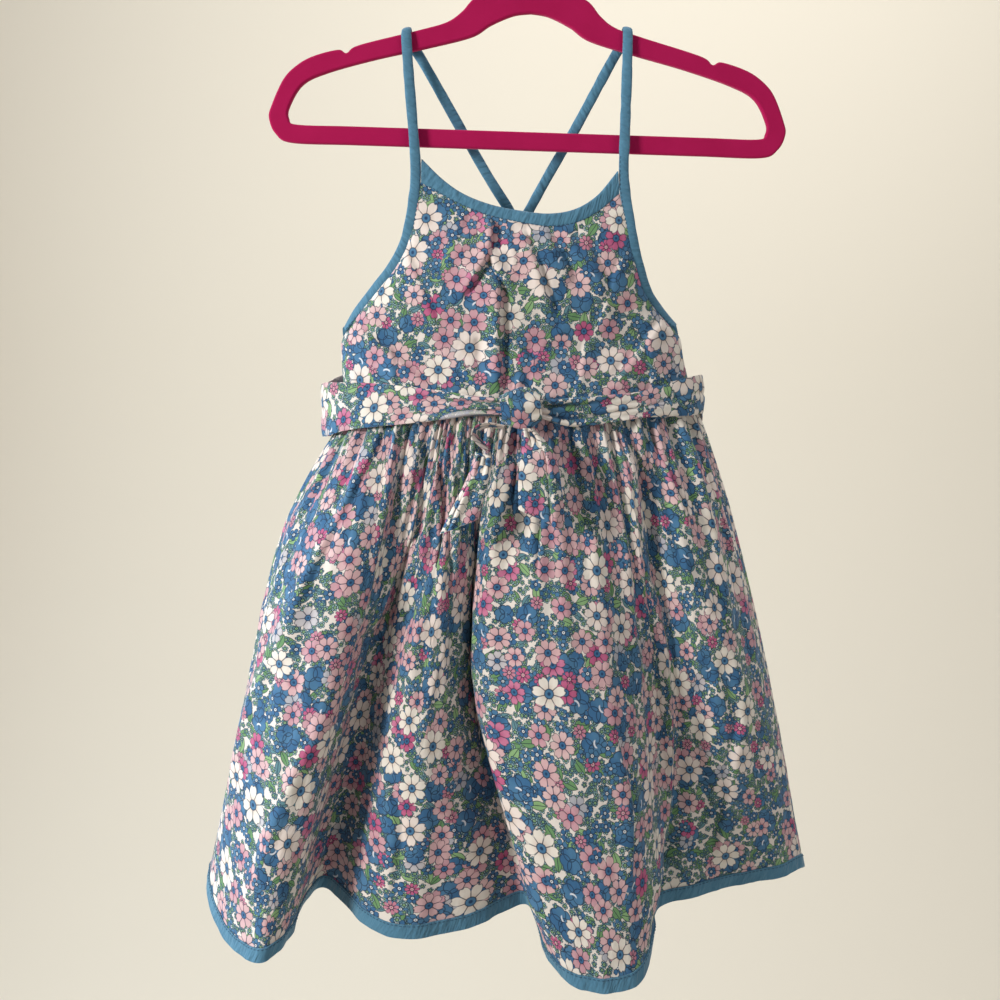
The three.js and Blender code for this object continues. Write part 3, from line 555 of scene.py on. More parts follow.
# Colours of the print
CREAM = (0.66, 0.60, 0.54)
BLUSH, BLUSH_DEEP = (0.57, 0.36, 0.365), (0.50, 0.28, 0.31)
ROSE, ROSE_DEEP = (0.44, 0.10, 0.20), (0.32, 0.045, 0.13)
SKY, BLUE, NAVY = (0.055, 0.155, 0.275), (0.034, 0.115, 0.235), (0.012, 0.04, 0.10)
TEAL, MIST = (0.10, 0.215, 0.245), (0.23, 0.37, 0.36)
LEAF, LEAF_PALE = (0.13, 0.27, 0.11), (0.23, 0.39, 0.17)
GREY = (0.38, 0.38, 0.41)

# Layers of the print, lowest first: kind, cell and radius in millimetres, share of the cells that
# hold one, grouping, scatter, turn in degrees, line in millimetres, then the kind's own values.
PRINT_LAYERS = [
    ("leaf", 10, 5.4, 0.9, 0.0, 0.9, 10, 0.45, {"Width": 0.46, "Leaf": LEAF, "Other leaf": TEAL}),
    ("blossom", 5.2, 2.45, 0.92, 0.3, 0.5, 35, 0.45, {
        "Petals": 5, "Heart": 0.3, "Waist": 0.5, "Petal": MIST, "Other petal": TEAL,
        "Throat": TEAL, "Centre": LEAF_PALE, "Dot": NAVY}),
    ("leaf", 14, 6.0, 0.6, 0.3, 0.9, 70, 0.5, {
        "Width": 0.5, "Leaf": LEAF_PALE, "Other leaf": LEAF}),
    ("blossom", 9.6, 4.6, 0.52, 1.5, 0.6, 52, 0.45, {
        "Petals": 5, "Heart": 0.2, "Waist": 0.45, "Petal": BLUE, "Other petal": SKY,
        "Throat": NAVY, "Centre": (0.6, 0.62, 0.62), "Dot": NAVY}),
    ("blossom", 5.2, 2.35, 0.3, 2.2, 0.5, 77, 0.45, {
        "Petals": 5, "Heart": 0.3, "Waist": 0.5, "Petal": MIST, "Other petal": TEAL,
        "Throat": TEAL, "Centre": LEAF_PALE, "Dot": NAVY}),
    ("poppy", 22, 8.2, 0.5, 0.4, 0.7, 20, 0.6, {
        "Petal": SKY, "Shade": BLUE, "Slit": (0.6, 0.62, 0.66)}),
    ("blossom", 27, 7.6, 0.25, 0.3, 0.8, 63, 0.5, {
        "Petals": 6, "Heart": 0.2, "Waist": 0.55, "Petal": GREY, "Other petal": (0.46, 0.43, 0.44),
        "Throat": (0.3, 0.3, 0.36), "Centre": BLUE, "Dot": NAVY}),
    ("poppy", 20, 6.4, 0.28, 0.6, 0.9, 80, 0.55, {
        "Petal": BLUE, "Shade": SKY, "Slit": SKY}),
    ("blossom", 16, 5.2, 0.2, 0.6, 0.8, 5, 0.45, {
        "Petals": 8, "Heart": 0.2, "Waist": 0.42, "Petal": ROSE, "Other petal": (0.47, 0.19, 0.25),
        "Throat": ROSE_DEEP, "Centre": BLUSH, "Dot": ROSE_DEEP}),
    ("blossom", 29, 8.4, 0.3, 0.4, 0.8, 44, 0.5, {
        "Petals": 7, "Heart": 0.25, "Waist": 0.5, "Petal": ROSE, "Other petal": (0.49, 0.16, 0.26),
        "Throat": ROSE_DEEP, "Centre": BLUE, "Dot": NAVY}),
    ("blossom", 21.5, 8.5, 0.52, 0.7, 0.72, 15, 0.5, {
        "Petals": 6, "Heart": 0.23, "Waist": 0.5, "Petal": BLUSH, "Other petal": BLUSH_DEEP,
        "Throat": (0.42, 0.14, 0.20), "Centre": BLUE, "Dot": NAVY}),
    ("blossom", 12, 4.7, 0.16, 1.6, 0.7, 81, 0.45, {
        "Petals": 5, "Heart": 0.2, "Waist": 0.45, "Petal": BLUE, "Other petal": SKY,
        "Throat": NAVY, "Centre": (0.6, 0.62, 0.62), "Dot": NAVY}),
    ("blossom", 26, 8.7, 0.42, 0.5, 0.75, 58, 0.5, {
        "Petals": 7, "Heart": 0.23, "Waist": 0.52, "Petal": (0.60, 0.41, 0.40),
        "Other petal": BLUSH, "Throat": BLUSH_DEEP, "Centre": BLUE, "Dot": NAVY}),
    ("blossom", 31, 11.8, 0.52, 0.0, 0.62, 27, 0.55, {
        "Petals": 7, "Heart": 0.23, "Waist": 0.44, "Petal": (0.71, 0.65, 0.57),
        "Other petal": (0.71, 0.615, 0.555), "Throat": (0.58, 0.46, 0.38), "Centre": SKY,
        "Dot": NAVY}),
]


def print_group():
    """The printed cotton: small flowers in layers on a cream ground, on a map in metres."""
    groups = {"blossom": blossom_group(), "leaf": leaf_group(), "poppy": poppy_group()}
    t, s, out = new_group("floral_print", [(VECTOR, "Vector", None)], [(COLOUR, "Color")])
    colour = (*CREAM, 1)
    for number, layer in enumerate(PRINT_LAYERS):
        kind, cell, radius, share, grouping, scatter, turn, line, values = layer
        node = t.node("ShaderNodeGroup")
        node.node_tree = groups[kind]
        t.put(node.inputs["Vector"], t.turned(s["Vector"], turn))
        node.inputs["Shift"].default_value = (0.137 * number + 0.031, 0.091 * number + 0.4, 0)
        sizes = {"Cell": cell * MM, "Radius": radius / cell, "Share": share,
                 "Grouping": grouping, "Scatter": scatter, "Line": line * MM}
        for key, value in {**sizes, **values}.items():
            t.put(node.inputs[key], (*value, 1) if isinstance(value, tuple) else float(value))
        colour = t.mix(node.outputs["Mask"], colour, node.outputs["Color"])
    t.put(out["Color"], colour)
    return t.tree


def fabric(name, colour_of, roughness=0.82, sheen=0.12, bump=None):
    """A woven cotton. colour_of makes the colour; bump makes the height in millimetres."""
    material = bpy.data.materials.new(name)
    material.use_nodes = True
    t = Tree(material.node_tree)
    shader = material.node_tree.nodes["Principled BSDF"]
    shader.inputs["Roughness"].default_value = roughness
    shader.inputs["Sheen Weight"].default_value = sheen
    shader.inputs["Sheen Roughness"].default_value = 0.5
    shader.inputs["Specular IOR Level"].default_value = 0.25
    uv = t.node("ShaderNodeUVMap", uv_map="UVMap").outputs["UV"]
    t.put(shader.inputs["Base Color"], colour_of(t, uv))
    node = t.node("ShaderNodeBump")
    node.inputs["Strength"].default_value = 0.9
    node.inputs["Distance"].default_value = MM
    t.put(node.inputs["Height"], bump(t, uv))
    t.put(shader.inputs["Normal"], node.outputs["Normal"])
    return material


def stretched(t, uv, along, down, turn=0.0):
    node = t.node("ShaderNodeMapping")
    t.put(node.inputs["Vector"], t.turned(uv, turn) if turn else uv)
    node.inputs["Scale"].default_value = (along, down, 1)
    return node.outputs["Vector"]


def weave(t, uv, pitch, height):
    """Plain weave with a thread every pitch millimetres."""
    x, y, _ = t.split(t.scaled(uv, 2 * math.pi / (pitch * MM)))
    woven = t.math("MULTIPLY", t.math("SINE", x), t.math("SINE", y))
    return t.math("MULTIPLY", woven, height / 2)


def cotton_bump(t, uv):
    soft = t.noise(stretched(t, uv, 60, 26), 1.0, 3.0)
    fine = t.noise(stretched(t, uv, 210, 95, 28), 1.0, 3.0)
    height = t.math("ADD", t.math("MULTIPLY", soft, 1.7), t.math("MULTIPLY", fine, 0.75))
    return t.math("ADD", height, weave(t, uv, 0.42, 0.05))


def print_colour(t, uv, faded=0.0):
    node = t.node("ShaderNodeGroup")
    node.node_tree = PRINT
    t.put(node.inputs["Vector"], uv)
    colour = node.outputs["Color"]
    if faded:
        colour = t.mix(faded, colour, (0.74, 0.66, 0.64, 1))
    mottle = t.noise(uv, 900.0, 2.0)
    return t.mix(t.math("MULTIPLY", mottle, 0.14), colour, (0.9, 0.86, 0.8, 1), "SOFT_LIGHT")


def binding_colour(t, uv):
    """Blue chambray cut on the bias: fine diagonal threads, paler where it is rubbed."""
    slant = t.turned(uv, 45)
    x, y, _ = t.split(t.scaled(slant, 2 * math.pi / 0.00055))
    thread = t.math("ADD", 0.5, t.math("MULTIPLY", t.math("MULTIPLY", t.math("SINE", x),
                                                           t.math("SINE", y)), 0.5))
    cloud = t.noise(uv, 90.0, 4.0)
    colour = t.mix(cloud, (0.036, 0.125, 0.205, 1), (0.074, 0.205, 0.30, 1))
    return t.mix(t.math("MULTIPLY", thread, 0.22), colour, (0.15, 0.31, 0.41, 1))


def binding_bump(t, uv):
    pulls = t.noise(stretched(t, uv, 330, 80, 24), 1.0, 2.0)
    grain = t.noise(stretched(t, uv, 90, 90), 1.0, 3.0)
    return t.math("ADD", t.math("MULTIPLY", pulls, 2.2), t.math("MULTIPLY", grain, 1.0))


def flock_material():
    """Short pile flocked on plastic: deep colour, dusty at a glancing angle."""
    material = bpy.data.materials.new("flocked_hanger")
    material.use_nodes = True
    t = Tree(material.node_tree)
    shader = material.node_tree.nodes["Principled BSDF"]
    place = t.node("ShaderNodeTexCoord").outputs["Object"]
    pile = t.noise(place, 2600.0, 2.0)
    cloud = t.noise(place, 34.0, 4.0)
    colour = t.mix(cloud, (0.36, 0.004, 0.060, 1), (0.49, 0.010, 0.096, 1))
    t.put(shader.inputs["Base Color"], t.mix(t.math("MULTIPLY", pile, 0.55), colour,
                                             (0.23, 0.002, 0.05, 1)))
    shader.inputs["Roughness"].default_value = 0.92
    shader.inputs["Specular IOR Level"].default_value = 0.15
    shader.inputs["Sheen Weight"].default_value = 0.35
    shader.inputs["Sheen Roughness"].default_value = 0.35
    shader.inputs["Sheen Tint"].default_value = (1.0, 0.35, 0.5, 1)
    node = t.node("ShaderNodeBump")
    node.inputs["Strength"].default_value = 0.7
    node.inputs["Distance"].default_value = 0.3 * MM
    t.put(node.inputs["Height"], pile)
    t.put(shader.inputs["Normal"], node.outputs["Normal"])
    return material


def steel_material():
    material = bpy.data.materials.new("hook_steel")
    material.use_nodes = True
    t = Tree(material.node_tree)
    shader = material.node_tree.nodes["Principled BSDF"]
    place = t.node("ShaderNodeTexCoord").outputs["Object"]
    shader.inputs["Metallic"].default_value = 1
    smear = t.noise(place, 160.0, 3.0)
    t.put(shader.inputs["Roughness"], t.math("ADD", 0.14, t.math("MULTIPLY", smear, 0.16)))
    t.put(shader.inputs["Base Color"], t.mix(smear, (0.62, 0.62, 0.63, 1), (0.74, 0.74, 0.75, 1)))
    return material


# Stitch thread, darker than the binding: partly the thread's own colour, partly painted shade for
# the shadow line along the bindings' seams.
def thread_and_seam_shade_material():
    material = bpy.data.materials.new("sewing_thread_and_seam_shade")
    material.use_nodes = True
    t = Tree(material.node_tree)
    shader = material.node_tree.nodes["Principled BSDF"]
    place = t.node("ShaderNodeTexCoord").outputs["Object"]
    ply = t.noise(place, 2400.0, 2.0)
    # Near-black navy: thread colour plus painted seam shade.
    t.put(shader.inputs["Base Color"], t.mix(ply, (0.012, 0.05, 0.10, 1), (0.035, 0.11, 0.18, 1)))
    shader.inputs["Roughness"].default_value = 0.7
    return material


PRINT = print_group()
# Dark thread for the stitches: partly painted shade of the seam line at the bindings' edges.
thread = thread_and_seam_shade_material()
floral = fabric("floral_cotton", print_colour, bump=cotton_bump)
floral_back = fabric(
    "floral_cotton_inside", lambda t, uv: print_colour(t, uv, 0.5), bump=cotton_bump)
blue = fabric("blue_binding", binding_colour, roughness=0.78, sheen=0.2, bump=binding_bump)
flock = flock_material()
steel = steel_material()


# Skirt: fold lines from the side, across the front. Waist turn in degrees, then x and y at the
# hip and the knee, and x, y and z at the hem.
HIP, KNEE = 0.26, 0.57
HIP_Z, KNEE_Z = -437, -545
FRONT_FOLDS = [
    (0, (-175, -4), (-203, -7), (-235, -10, -696)),
    (15, (-165, -36), (-191, -44), (-211, -60, -715)),
    (29, (-140, -61), (-161, -76), (-180, -90, -715)),
    (43, (-109, -66), (-134, -76), (-167, -73, -709)),
    (59, (-87, -48), (-113, -38), (-150, -26, -695)),
    (67, (-64, -64), (-80, -72), (-94, -80, -702)),
    (73, (-47, -63), (-56, -68), (-48, -71, -702)),
    (79, (-37, -46), (-38, -38), (-2, -46, -696)),
    (84, (-27, -58), (-27, -68), (9, -88, -708)),
    (89, (-9, -67), (-7, -84), (21, -105, -718)),
    (98, (18, -71), (24, -89), (44, -111, -723)),
    (107, (44, -68), (55, -85), (71, -105, -721)),
    (114, (62, -59), (74, -66), (85, -80, -707)),
    (120, (72, -48), (86, -40), (93, -40, -702)),
    (129, (90, -54), (106, -51), (123, -35, -696)),
    (143, (119, -46), (138, -48), (161, -24, -691)),
    (161, (140, -26), (164, -29), (188, -19, -689)),
    (180, (149, -2), (177, -3), (205, -5, -688)),
]
# Pleats on the skirt's front: width, height and lean (1 turns over to the right, -1 to the left),
# then fall and fold-line place down the crest. A hollow has a height below 0.
SKIRT_PLEATS = [
    (25, 8, 1, [(0.07, 3.85), (0.17, 4.1), (0.23, 4.15), (0.255, 4.0), (0.32, 3.86), (0.4, 3.75)]),
    (20, 6, -1, [(0.13, 7.7), (0.26, 7.65), (0.4, 7.55), (0.57, 7.6), (0.68, 7.95), (0.8, 8.3),
                 (0.95, 8.4)]),
    (6, -3.5, 0, [(0.2, 5.5), (0.5, 6.25)]),
    (12, -6, 0, [(0.08, 4.7), (0.2, 5.0), (0.3, 4.85), (0.42, 4.6)]),
    (14, -3, 0, [(0.1, 6.3), (0.26, 6.3), (0.57, 6.3), (0.7, 6.3), (0.8, 6.6), (0.92, 7.0)]),
    (14, -5, 0, [(0.1, 14.0), (0.2, 13.9), (0.3, 13.9), (0.45, 14.15), (0.6, 14.1), (0.8, 13.9)]),
    (8, -3.5, 0, [(0.5, 3.8), (0.65, 3.7), (0.8, 3.6), (0.92, 3.6)]),
    (9, -4, 0, [(0.5, 14.6), (0.65, 14.3), (0.8, 14.3), (0.94, 14.0)]),
    (25, 8, 1, [(0.07, 13.25), (0.21, 13.1), (0.32, 13.1), (0.38, 13.25), (0.46, 13.38),
                (0.7, 13.3), (0.86, 13.0), (0.95, 12.4)]),
    (8, 3, 0, [(0.24, 14.1), (0.3, 14.4), (0.35, 14.7), (0.39, 15.0), (0.45, 15.1), (0.6, 15.5)]),
    (7, 3.5, 0, [(0.55, 3.0), (0.6, 2.8), (0.77, 2.0), (0.93, 1.46)]),
    (9, 3.4, 0, [(0.3, 1.9), (0.45, 1.5), (0.6, 0.9), (0.75, 0.6)]),
    (4.5, 3.2, 1, [(0.05, 4.55), (0.12, 4.75), (0.2, 5.0), (0.27, 5.1)]),
    (4, 2.8, -1, [(0.05, 5.1), (0.14, 5.5), (0.24, 5.7)]),
    (4, 3, 1, [(0.06, 5.85), (0.15, 5.85), (0.24, 5.9)]),
    (4.5, 3, 1, [(0.08, 8.75), (0.16, 8.6), (0.25, 8.3)]),
    (5, 2.6, -1, [(0.05, 10.1), (0.12, 9.9), (0.22, 9.7), (0.33, 9.6)]),
    (4, 2.6, 1, [(0.05, 11.1), (0.14, 11.2), (0.25, 11.0)]),
    (4, 2.4, -1, [(0.05, 12.2), (0.13, 12.1), (0.2, 12.0)]),
    (5, 3, 1, [(0.05, 15.5), (0.1, 15.6), (0.18, 15.9), (0.28, 16.2)]),
    (5, 2.6, 1, [(0.05, 14.3), (0.12, 14.5), (0.22, 14.7)]),
    (6, 2.8, 1, [(0.05, 2.7), (0.14, 2.4), (0.26, 2.0), (0.36, 1.8)]),
    (9, 3, 1, [(0.6, 10.9), (0.72, 11.2), (0.85, 11.0)]),
    (10, 3, -1, [(0.62, 15.3), (0.75, 14.9), (0.94, 14.5)]),
    (8, 2.6, 1, [(0.66, 4.6), (0.8, 4.9), (0.95, 4.9)]),
]
BACK_COUNT, BACK_DEPTH, BACK_WAVE, BACK_HEM = 16, 92, 13, -694
FRONT_COLUMNS, BACK_COLUMNS = 84, 60
PLEAT_FADE = 0.04
SKIRT_DROP, SKIRT_FLAT = 345, 349


def waist_point(turn, z, off=0.0):
    angle = np.radians(np.asarray(turn, float))
    sine = np.sin(angle)
    depth = np.where(sine >= 0, WAIST_FRONT, WAIST_BACK)
    z = np.broadcast_to(z, angle.shape)
    return np.stack([WAIST_X - (WAIST_HALF + off) * np.cos(angle), -(depth + off) * sine, z], -1)


def back_fold(index):
    turn = 180 + 180 * index / BACK_COUNT
    share = math.sin(math.radians(turn - 180))
    first, last = FRONT_FOLDS[-1], FRONT_FOLDS[0]
    out = BACK_WAVE * (1 if index % 2 else -1) * share**0.5

    def place(a, b, depth, wave):
        half = (a[0] - b[0]) / 2 + out * wave
        return ((a[0] + b[0]) / 2 - half * math.cos(math.radians(turn)),
                lerp(lerp(a[1], b[1], index / BACK_COUNT), depth + out * wave, share))

    return (turn, place(first[1], last[1], 60, 0.5), place(first[2], last[2], 76, 0.8),
            (*place(first[3], last[3], BACK_DEPTH, 1), BACK_HEM - 5 * (index % 2)))


FOLDS = FRONT_FOLDS + [back_fold(i) for i in range(1, BACK_COUNT)]
SKIRT_TOP = WAIST_Z - SEAM_GAP
SKIRT_LIFT = HEM_BINDING + SEAM_GAP
SKIRT_FALLS = [0, HIP, KNEE, 1]
SKIRT_RINGS = [
    waist_point([f[0] for f in FOLDS], SKIRT_TOP),
    np.array([(*f[1], HIP_Z) for f in FOLDS]),
    np.array([(*f[2], KNEE_Z) for f in FOLDS]),
    np.array([(f[3][0], f[3][1], f[3][2] + SKIRT_LIFT) for f in FOLDS]),
]
GATHER_FALLS = [0, 0.04, 0.12, 0.26, 0.5, 0.75, 1]
GATHER_SHARE = [0.8, 1, 0.8, 0.4, 0.12, 0, 0]
SMALL_FOLD_SHARE = [0, 0.3, 0.9, 1, 0.7, 0.4, 0.25]


def skirt_grid(places, falls):
    rings = np.stack([curve_points(ring, (places / len(FOLDS)) % 1, True) for ring in SKIRT_RINGS])
    return table_value(SKIRT_FALLS, rings, falls)


def column_places(first, last, count, columns):
    """Fold-line places of the columns, which share out the cloth evenly."""
    fine = np.linspace(first, last, 1200)
    top, foot = (skirt_grid(fine, np.array([fall]))[0] for fall in (0, 1))
    step = np.linalg.norm(np.diff(foot, axis=0), axis=1) + 2 * np.linalg.norm(
        np.diff(top, axis=0), axis=1)
    cloth = np.concatenate([[0], np.cumsum(step)])
    return np.interp(columns / count * cloth[-1], cloth, fine), cloth[-1] / 2


def skirt_pleats(places, u, falls):
    """How far the pleats push each point outwards and to the right."""
    out = np.zeros((len(falls), len(u)))
    right = np.zeros_like(out)
    for width, height, lean, route in SKIRT_PLEATS:
        rows = [row[0] for row in route]
        crest = np.interp(table_value(rows, [row[1] for row in route], falls), places, u)
        profile, shift = fold_profile((u[None] - crest[:, None]) / width, lean)
        ends = smoothstep(falls, rows[0] - PLEAT_FADE, rows[0] + PLEAT_FADE)
        ends = ends * (1 - smoothstep(falls, rows[-1] - PLEAT_FADE, rows[-1] + PLEAT_FADE))
        out += height * ends[:, None] * profile
        right += height * ends[:, None] * shift
    return out, right


def wide_frame(base, reach):
    """Directions along and out of the wide form, so that pushes don't cross in its valleys."""
    column = np.arange(base.shape[1])
    last = column[-1]
    along = unit(base[:, np.minimum(column + reach, last)] - base[:, np.maximum(column - reach, 0)])
    return along, unit(np.stack([along[..., 1], -along[..., 0], 0 * along[..., 0]], -1))


def skirt_panel(first, last, count, across, down, seed):
    columns = np.linspace(0, count, across)
    falls = np.linspace(0, 1, down) ** 1.12
    places, width = column_places(first, last, count, columns)
    base = skirt_grid(places, falls)
    _, out = wide_frame(base, 8)
    whole = np.arange(count + 1)
    knots, _ = column_places(first, last, count, whole.astype(float))
    knot = skirt_grid(knots, falls)
    pitch = np.linalg.norm(np.diff(knot, axis=1), axis=-1) * 4
    pitch = np.stack([np.interp(columns, whole[:-1] + 0.5, row) for row in pitch])
    uneven = 0.75 + 0.35 * np.sin(2.3 * columns)
    fall = falls[:, None]
    tuck = table_value(GATHER_FALLS, GATHER_SHARE, falls)[:, None]
    small = table_value(GATHER_FALLS, SMALL_FOLD_SHARE, falls)[:, None]
    reach = np.minimum(0.2 * pitch, 3.4)
    wave = np.sin(np.pi * columns / 2)
    gather = np.sign(wave) * np.abs(wave) ** 0.8 * reach * uneven
    push = gather * tuck + 2.6 * np.sin(2 * np.pi * columns / 12) * uneven * small
    # Finer tucks at the seam, soft folds that wander down from it, and small creases in the cotton.
    u = columns / count * width
    v = fall * SKIRT_DROP
    edge = smoothstep(columns, 0, 2) * (1 - smoothstep(columns, count - 2, count))
    fine_tuck = 0.9 * np.sin(np.pi * columns * 1.0 + 1.2 * np.sin(0.7 * columns))
    push = push + fine_tuck * (1 - smoothstep(fall, 0.03, 0.16)) * edge
    wander = u + 7 * noise(u / 60, v / 120, seed + 3)
    soft = noise(wander / 16, v / 150, seed) * 2.3 * smoothstep(fall, 0.02, 0.14)
    soft = soft * (1 - 0.55 * smoothstep(fall, 0.5, 1))
    crisp = creases((u + 0.25 * v) / 34, (v - 0.3 * u) / 52, seed + 1)
    crisp = crisp + 0.8 * creases((u - 0.4 * v) / 27, v / 40, seed + 2)
    small_creases = (crisp - 0.5) * 1.1 * smoothstep(fall, 0.08, 0.3)
    ripple = 0.5 * noise(u / 7, v / 30, seed + 5) * smoothstep(fall, 0.9, 1)
    push = push + (soft + small_creases + ripple) * edge
    grid = base + out * push[..., None]
    if first == 0:
        pleat, shift = skirt_pleats(places, u, falls)
        along, out = wide_frame(base, 34)
        grid = grid + out * pleat[..., None] + along * shift[..., None]
    trim = (SEAM_GAP + 0.1) / np.linalg.norm(grid[:, 1] - grid[:, 0], axis=-1, keepdims=True)
    grid[:, 0] = lerp(grid[:, 0], grid[:, 1], np.minimum(trim, 0.9))
    grid[:, -1] = lerp(grid[:, -1], grid[:, -2], np.minimum(trim, 0.9))
    uv = np.stack(np.broadcast_arrays(u[None, :], -v), -1)
    return grid, uv, width


def hem_strip(panel, rows):
    """The hem binding carries on from the skirt's foot."""
    down = unit(panel[-1] - panel[-6])
    drop = np.linspace(-1.0, SEAM_GAP + 0.2 + HEM_BINDING, rows)
    grid = panel[-1][None] + down[None] * drop[:, None, None]
    along = np.linalg.norm(np.diff(panel[-1], axis=0), axis=1)
    run = np.concatenate([[0], np.cumsum(along)])
    return grid, np.stack(np.broadcast_arrays(run[None, :], -drop[:, None]), -1), run[-1]


def add_skirt():
    sides = {
        "front": (0, len(FRONT_FOLDS) - 1, FRONT_COLUMNS, 440, 108, 11),
        "back": (len(FRONT_FOLDS) - 1, len(FOLDS), BACK_COLUMNS, 360, 84, 23),
    }
    for side, (first, last, count, across, down, seed) in sides.items():
        panel, uv, width = skirt_panel(first, last, count, across, down, seed)
        uv = uv + [60 if side == "front" else 1400, 30]
        piece = shell(f"cloth_skirt_{side}", panel, uv, CLOTH, [floral, floral_back])
        cloth_piece(piece, f"skirt_{side}")
        hem, hem_uv, length = hem_strip(panel, 9)
        puff = BINDING * (1 + 0.12 * noise(hem_uv[..., 0] / 9, hem_uv[..., 1] / 30, seed))
        strip = shell(f"cloth_hem_{side}", hem, hem_uv, puff, [blue, blue])
        cloth_piece(strip, f"hem_binding_{side}")
        face = grid_normals(hem)[1]
        stitch_row(f"stitches_hem_{side}", hem[1] + face * puff[1][:, None] / 2, face)


# Bodice

ARMHOLE_LEFT = [
    (-127.9, -3.4, -289.9, 72), (-120.6, -5.5, -279.7, 52), (-105.8, -11, -262.4, 30),
    (-94.2, -13.5, -248.7, 18), (-84.6, -14.5, -231.3, 10), (-80.6, -13.5, -215, 6),
    (-77.8, -10.5, -195, 2), (-77.3, -8.5, -180, 0), (-78.8, -7, -156, 0), (-81.8, -5.4, -115, 0),
]
ARMHOLE_RIGHT = [
    (103.2, -3.2, -288.2, -72), (95.6, -4.5, -281, -55), (82.4, -11, -264.4, -30),
    (76.5, -13.5, -248.6, -18), (72.2, -14.5, -234, -10), (69.2, -13.5, -218, -6),
    (66.2, -10.5, -199, -2), (65.1, -8.5, -184, 0), (65.6, -7, -158, 0), (66.6, -5.4, -116, 0),
]
STRAP_TOP = {"left": -83, "right": 66.8}
STRAP_BACK = {
    "left": [(-76, 5.2, -103), (-48, 11, -150), (-27.6, 16, -184), (-5.3, 20.5, -217.5),
             (22, 24, -260), (43.2, 26.6, -294.6)],
    "right": [(60.2, 5.2, -103), (31.6, 13, -154), (13.6, 19.5, -184), (-5.3, 25, -217.5),
              (-28, 27, -258), (-48.6, 28.4, -294.6)],
}
NECK_UPPER = [
    (-73.1, -8.8, -175), (-58.5, -11.5, -189.2), (-44.8, -14, -198.8), (-27.1, -16, -206),
    (-6, -18, -210.6), (14.4, -18.5, -212.6), (31.4, -16.5, -209.4), (46, -13, -200.5),
    (61, -8.8, -183),
]
NECK_LOWER = [
    (-73.4, -9.6, -191.8), (-58.5, -12.5, -200.6), (-44.8, -15, -207.7), (-27.1, -17.5, -214.6),
    (-6, -19.5, -219.4), (14.4, -20, -222.2), (31.8, -18, -219.6), (47, -14, -212),
    (61.8, -9.6, -199.6),
]
SIDE_LEFT = [(-130.8, -298.5), (-131, -308), (-130.2, -325), (WAIST_X - WAIST_HALF, -347.7)]
SIDE_RIGHT = [(106.6, -296), (109, -308), (113.5, -327), (WAIST_X + WAIST_HALF, -347.7)]

# Folds of the bodice: upper x and z, lower x and z, width, how far each stands out, and its lean
# (1 turns over to the right). The main folds come from the tuck at the neck; the last ones are
# small tucks below the neck and drags to the waist.
BODICE_FOLDS = [
    (-27, -214, -28.4, -242, 4.2, 4.6, 1), (-28, -238, -48, -270, 6.5, 4.4, 1),
    (-26.5, -238, -11, -268, 5, 3.2, -1), (-23, -256, -22, -345, 8, 5.4, 1),
    (-5, -226, 18, -290, 6, 3.4, 1), (23, -238, 35, -266, 7, -3.6, 0),
    (-33.8, -296, -33.8, -326, 2.6, -2.4, 0), (-46, -316, -22, -344, 4, 2.4, -1),
    (-12, -300, 10, -318, 4, 2, 1), (-6, -322, -14, -346, 4, 2.4, -1),
    (-44, -222, -60, -262, 6, 1.2, 0), (9, -222, 30, -262, 6, 2.2, 1),
    (30, -222, 62, -268, 6, -2, 0), (36, -226, 58, -292, 8, 1.8, 1),
    (-118, -292, -60, -336, 8, 2.2, 1), (-100, -290, -50, -318, 7, -1.6, 0),
    (95, -286, 52, -336, 8, 2.2, -1), (80, -290, 40, -312, 7, -1.6, 0),
    (-21, -214, -20, -246, 2.4, -1.8, 0), (-14, -216, -9, -258, 2.4, 1.5, 0),
    (1, -218, 6, -256, 2.3, 1.4, 0), (12, -219, 22, -250, 2.2, -1.3, 0),
    (23, -218, 36, -248, 2.4, 1.3, 0), (-38, -208, -50, -240, 2.4, -1.2, 0),
    (2, -296, -2, -345, 3, -1.4, 0), (-84, -240, -58, -300, 6, 1.4, 1),
    (66, -240, 44, -300, 6, 1.2, -1), (-96, -300, -90, -345, 6, 1.4, 1),
    (84, -296, 88, -345, 6, 1.4, -1), (40, -300, 30, -344, 5, 1.8, -1),
]


def fold_push(x, z):
    """How far the folds push each point outwards, and sideways in x and z."""
    out, shift_x, shift_z = np.zeros_like(x), np.zeros_like(x), np.zeros_like(x)
    for x0, z0, x1, z1, width, height, lean in BODICE_FOLDS:
        length = math.hypot(x1 - x0, z1 - z0)
        right = ((z0 - z1) / length, (x1 - x0) / length)
        t = ((x - x0) * (x1 - x0) + (z - z0) * (z1 - z0)) / length**2
        profile, shift = fold_profile(((x - x0) * right[0] + (z - z0) * right[1]) / width, lean)
        ends = smoothstep(t, -0.08, 0.1) * (1 - smoothstep(t, 0.65, 1.02))
        out += height * ends * profile
        shift_x += abs(height) * ends * shift * right[0]
        shift_z += abs(height) * ends * shift * right[1]
    return out, shift_x, shift_z


def inner_edge(armhole, side):
    line = [row[:3] for row in armhole]
    t = np.arange(8, 0, -1) / 8 * 0.66
    along = unit(curve_points(line, t + 1e-4) - curve_points(line, t - 1e-4))
    inward = unit(np.stack([along[:, 2], 0 * along[:, 0], -along[:, 0]], -1)) * side
    return curve_points(line, t) + inward * (STRAP_HALF - 1.4) + [0, -0.3, 0]


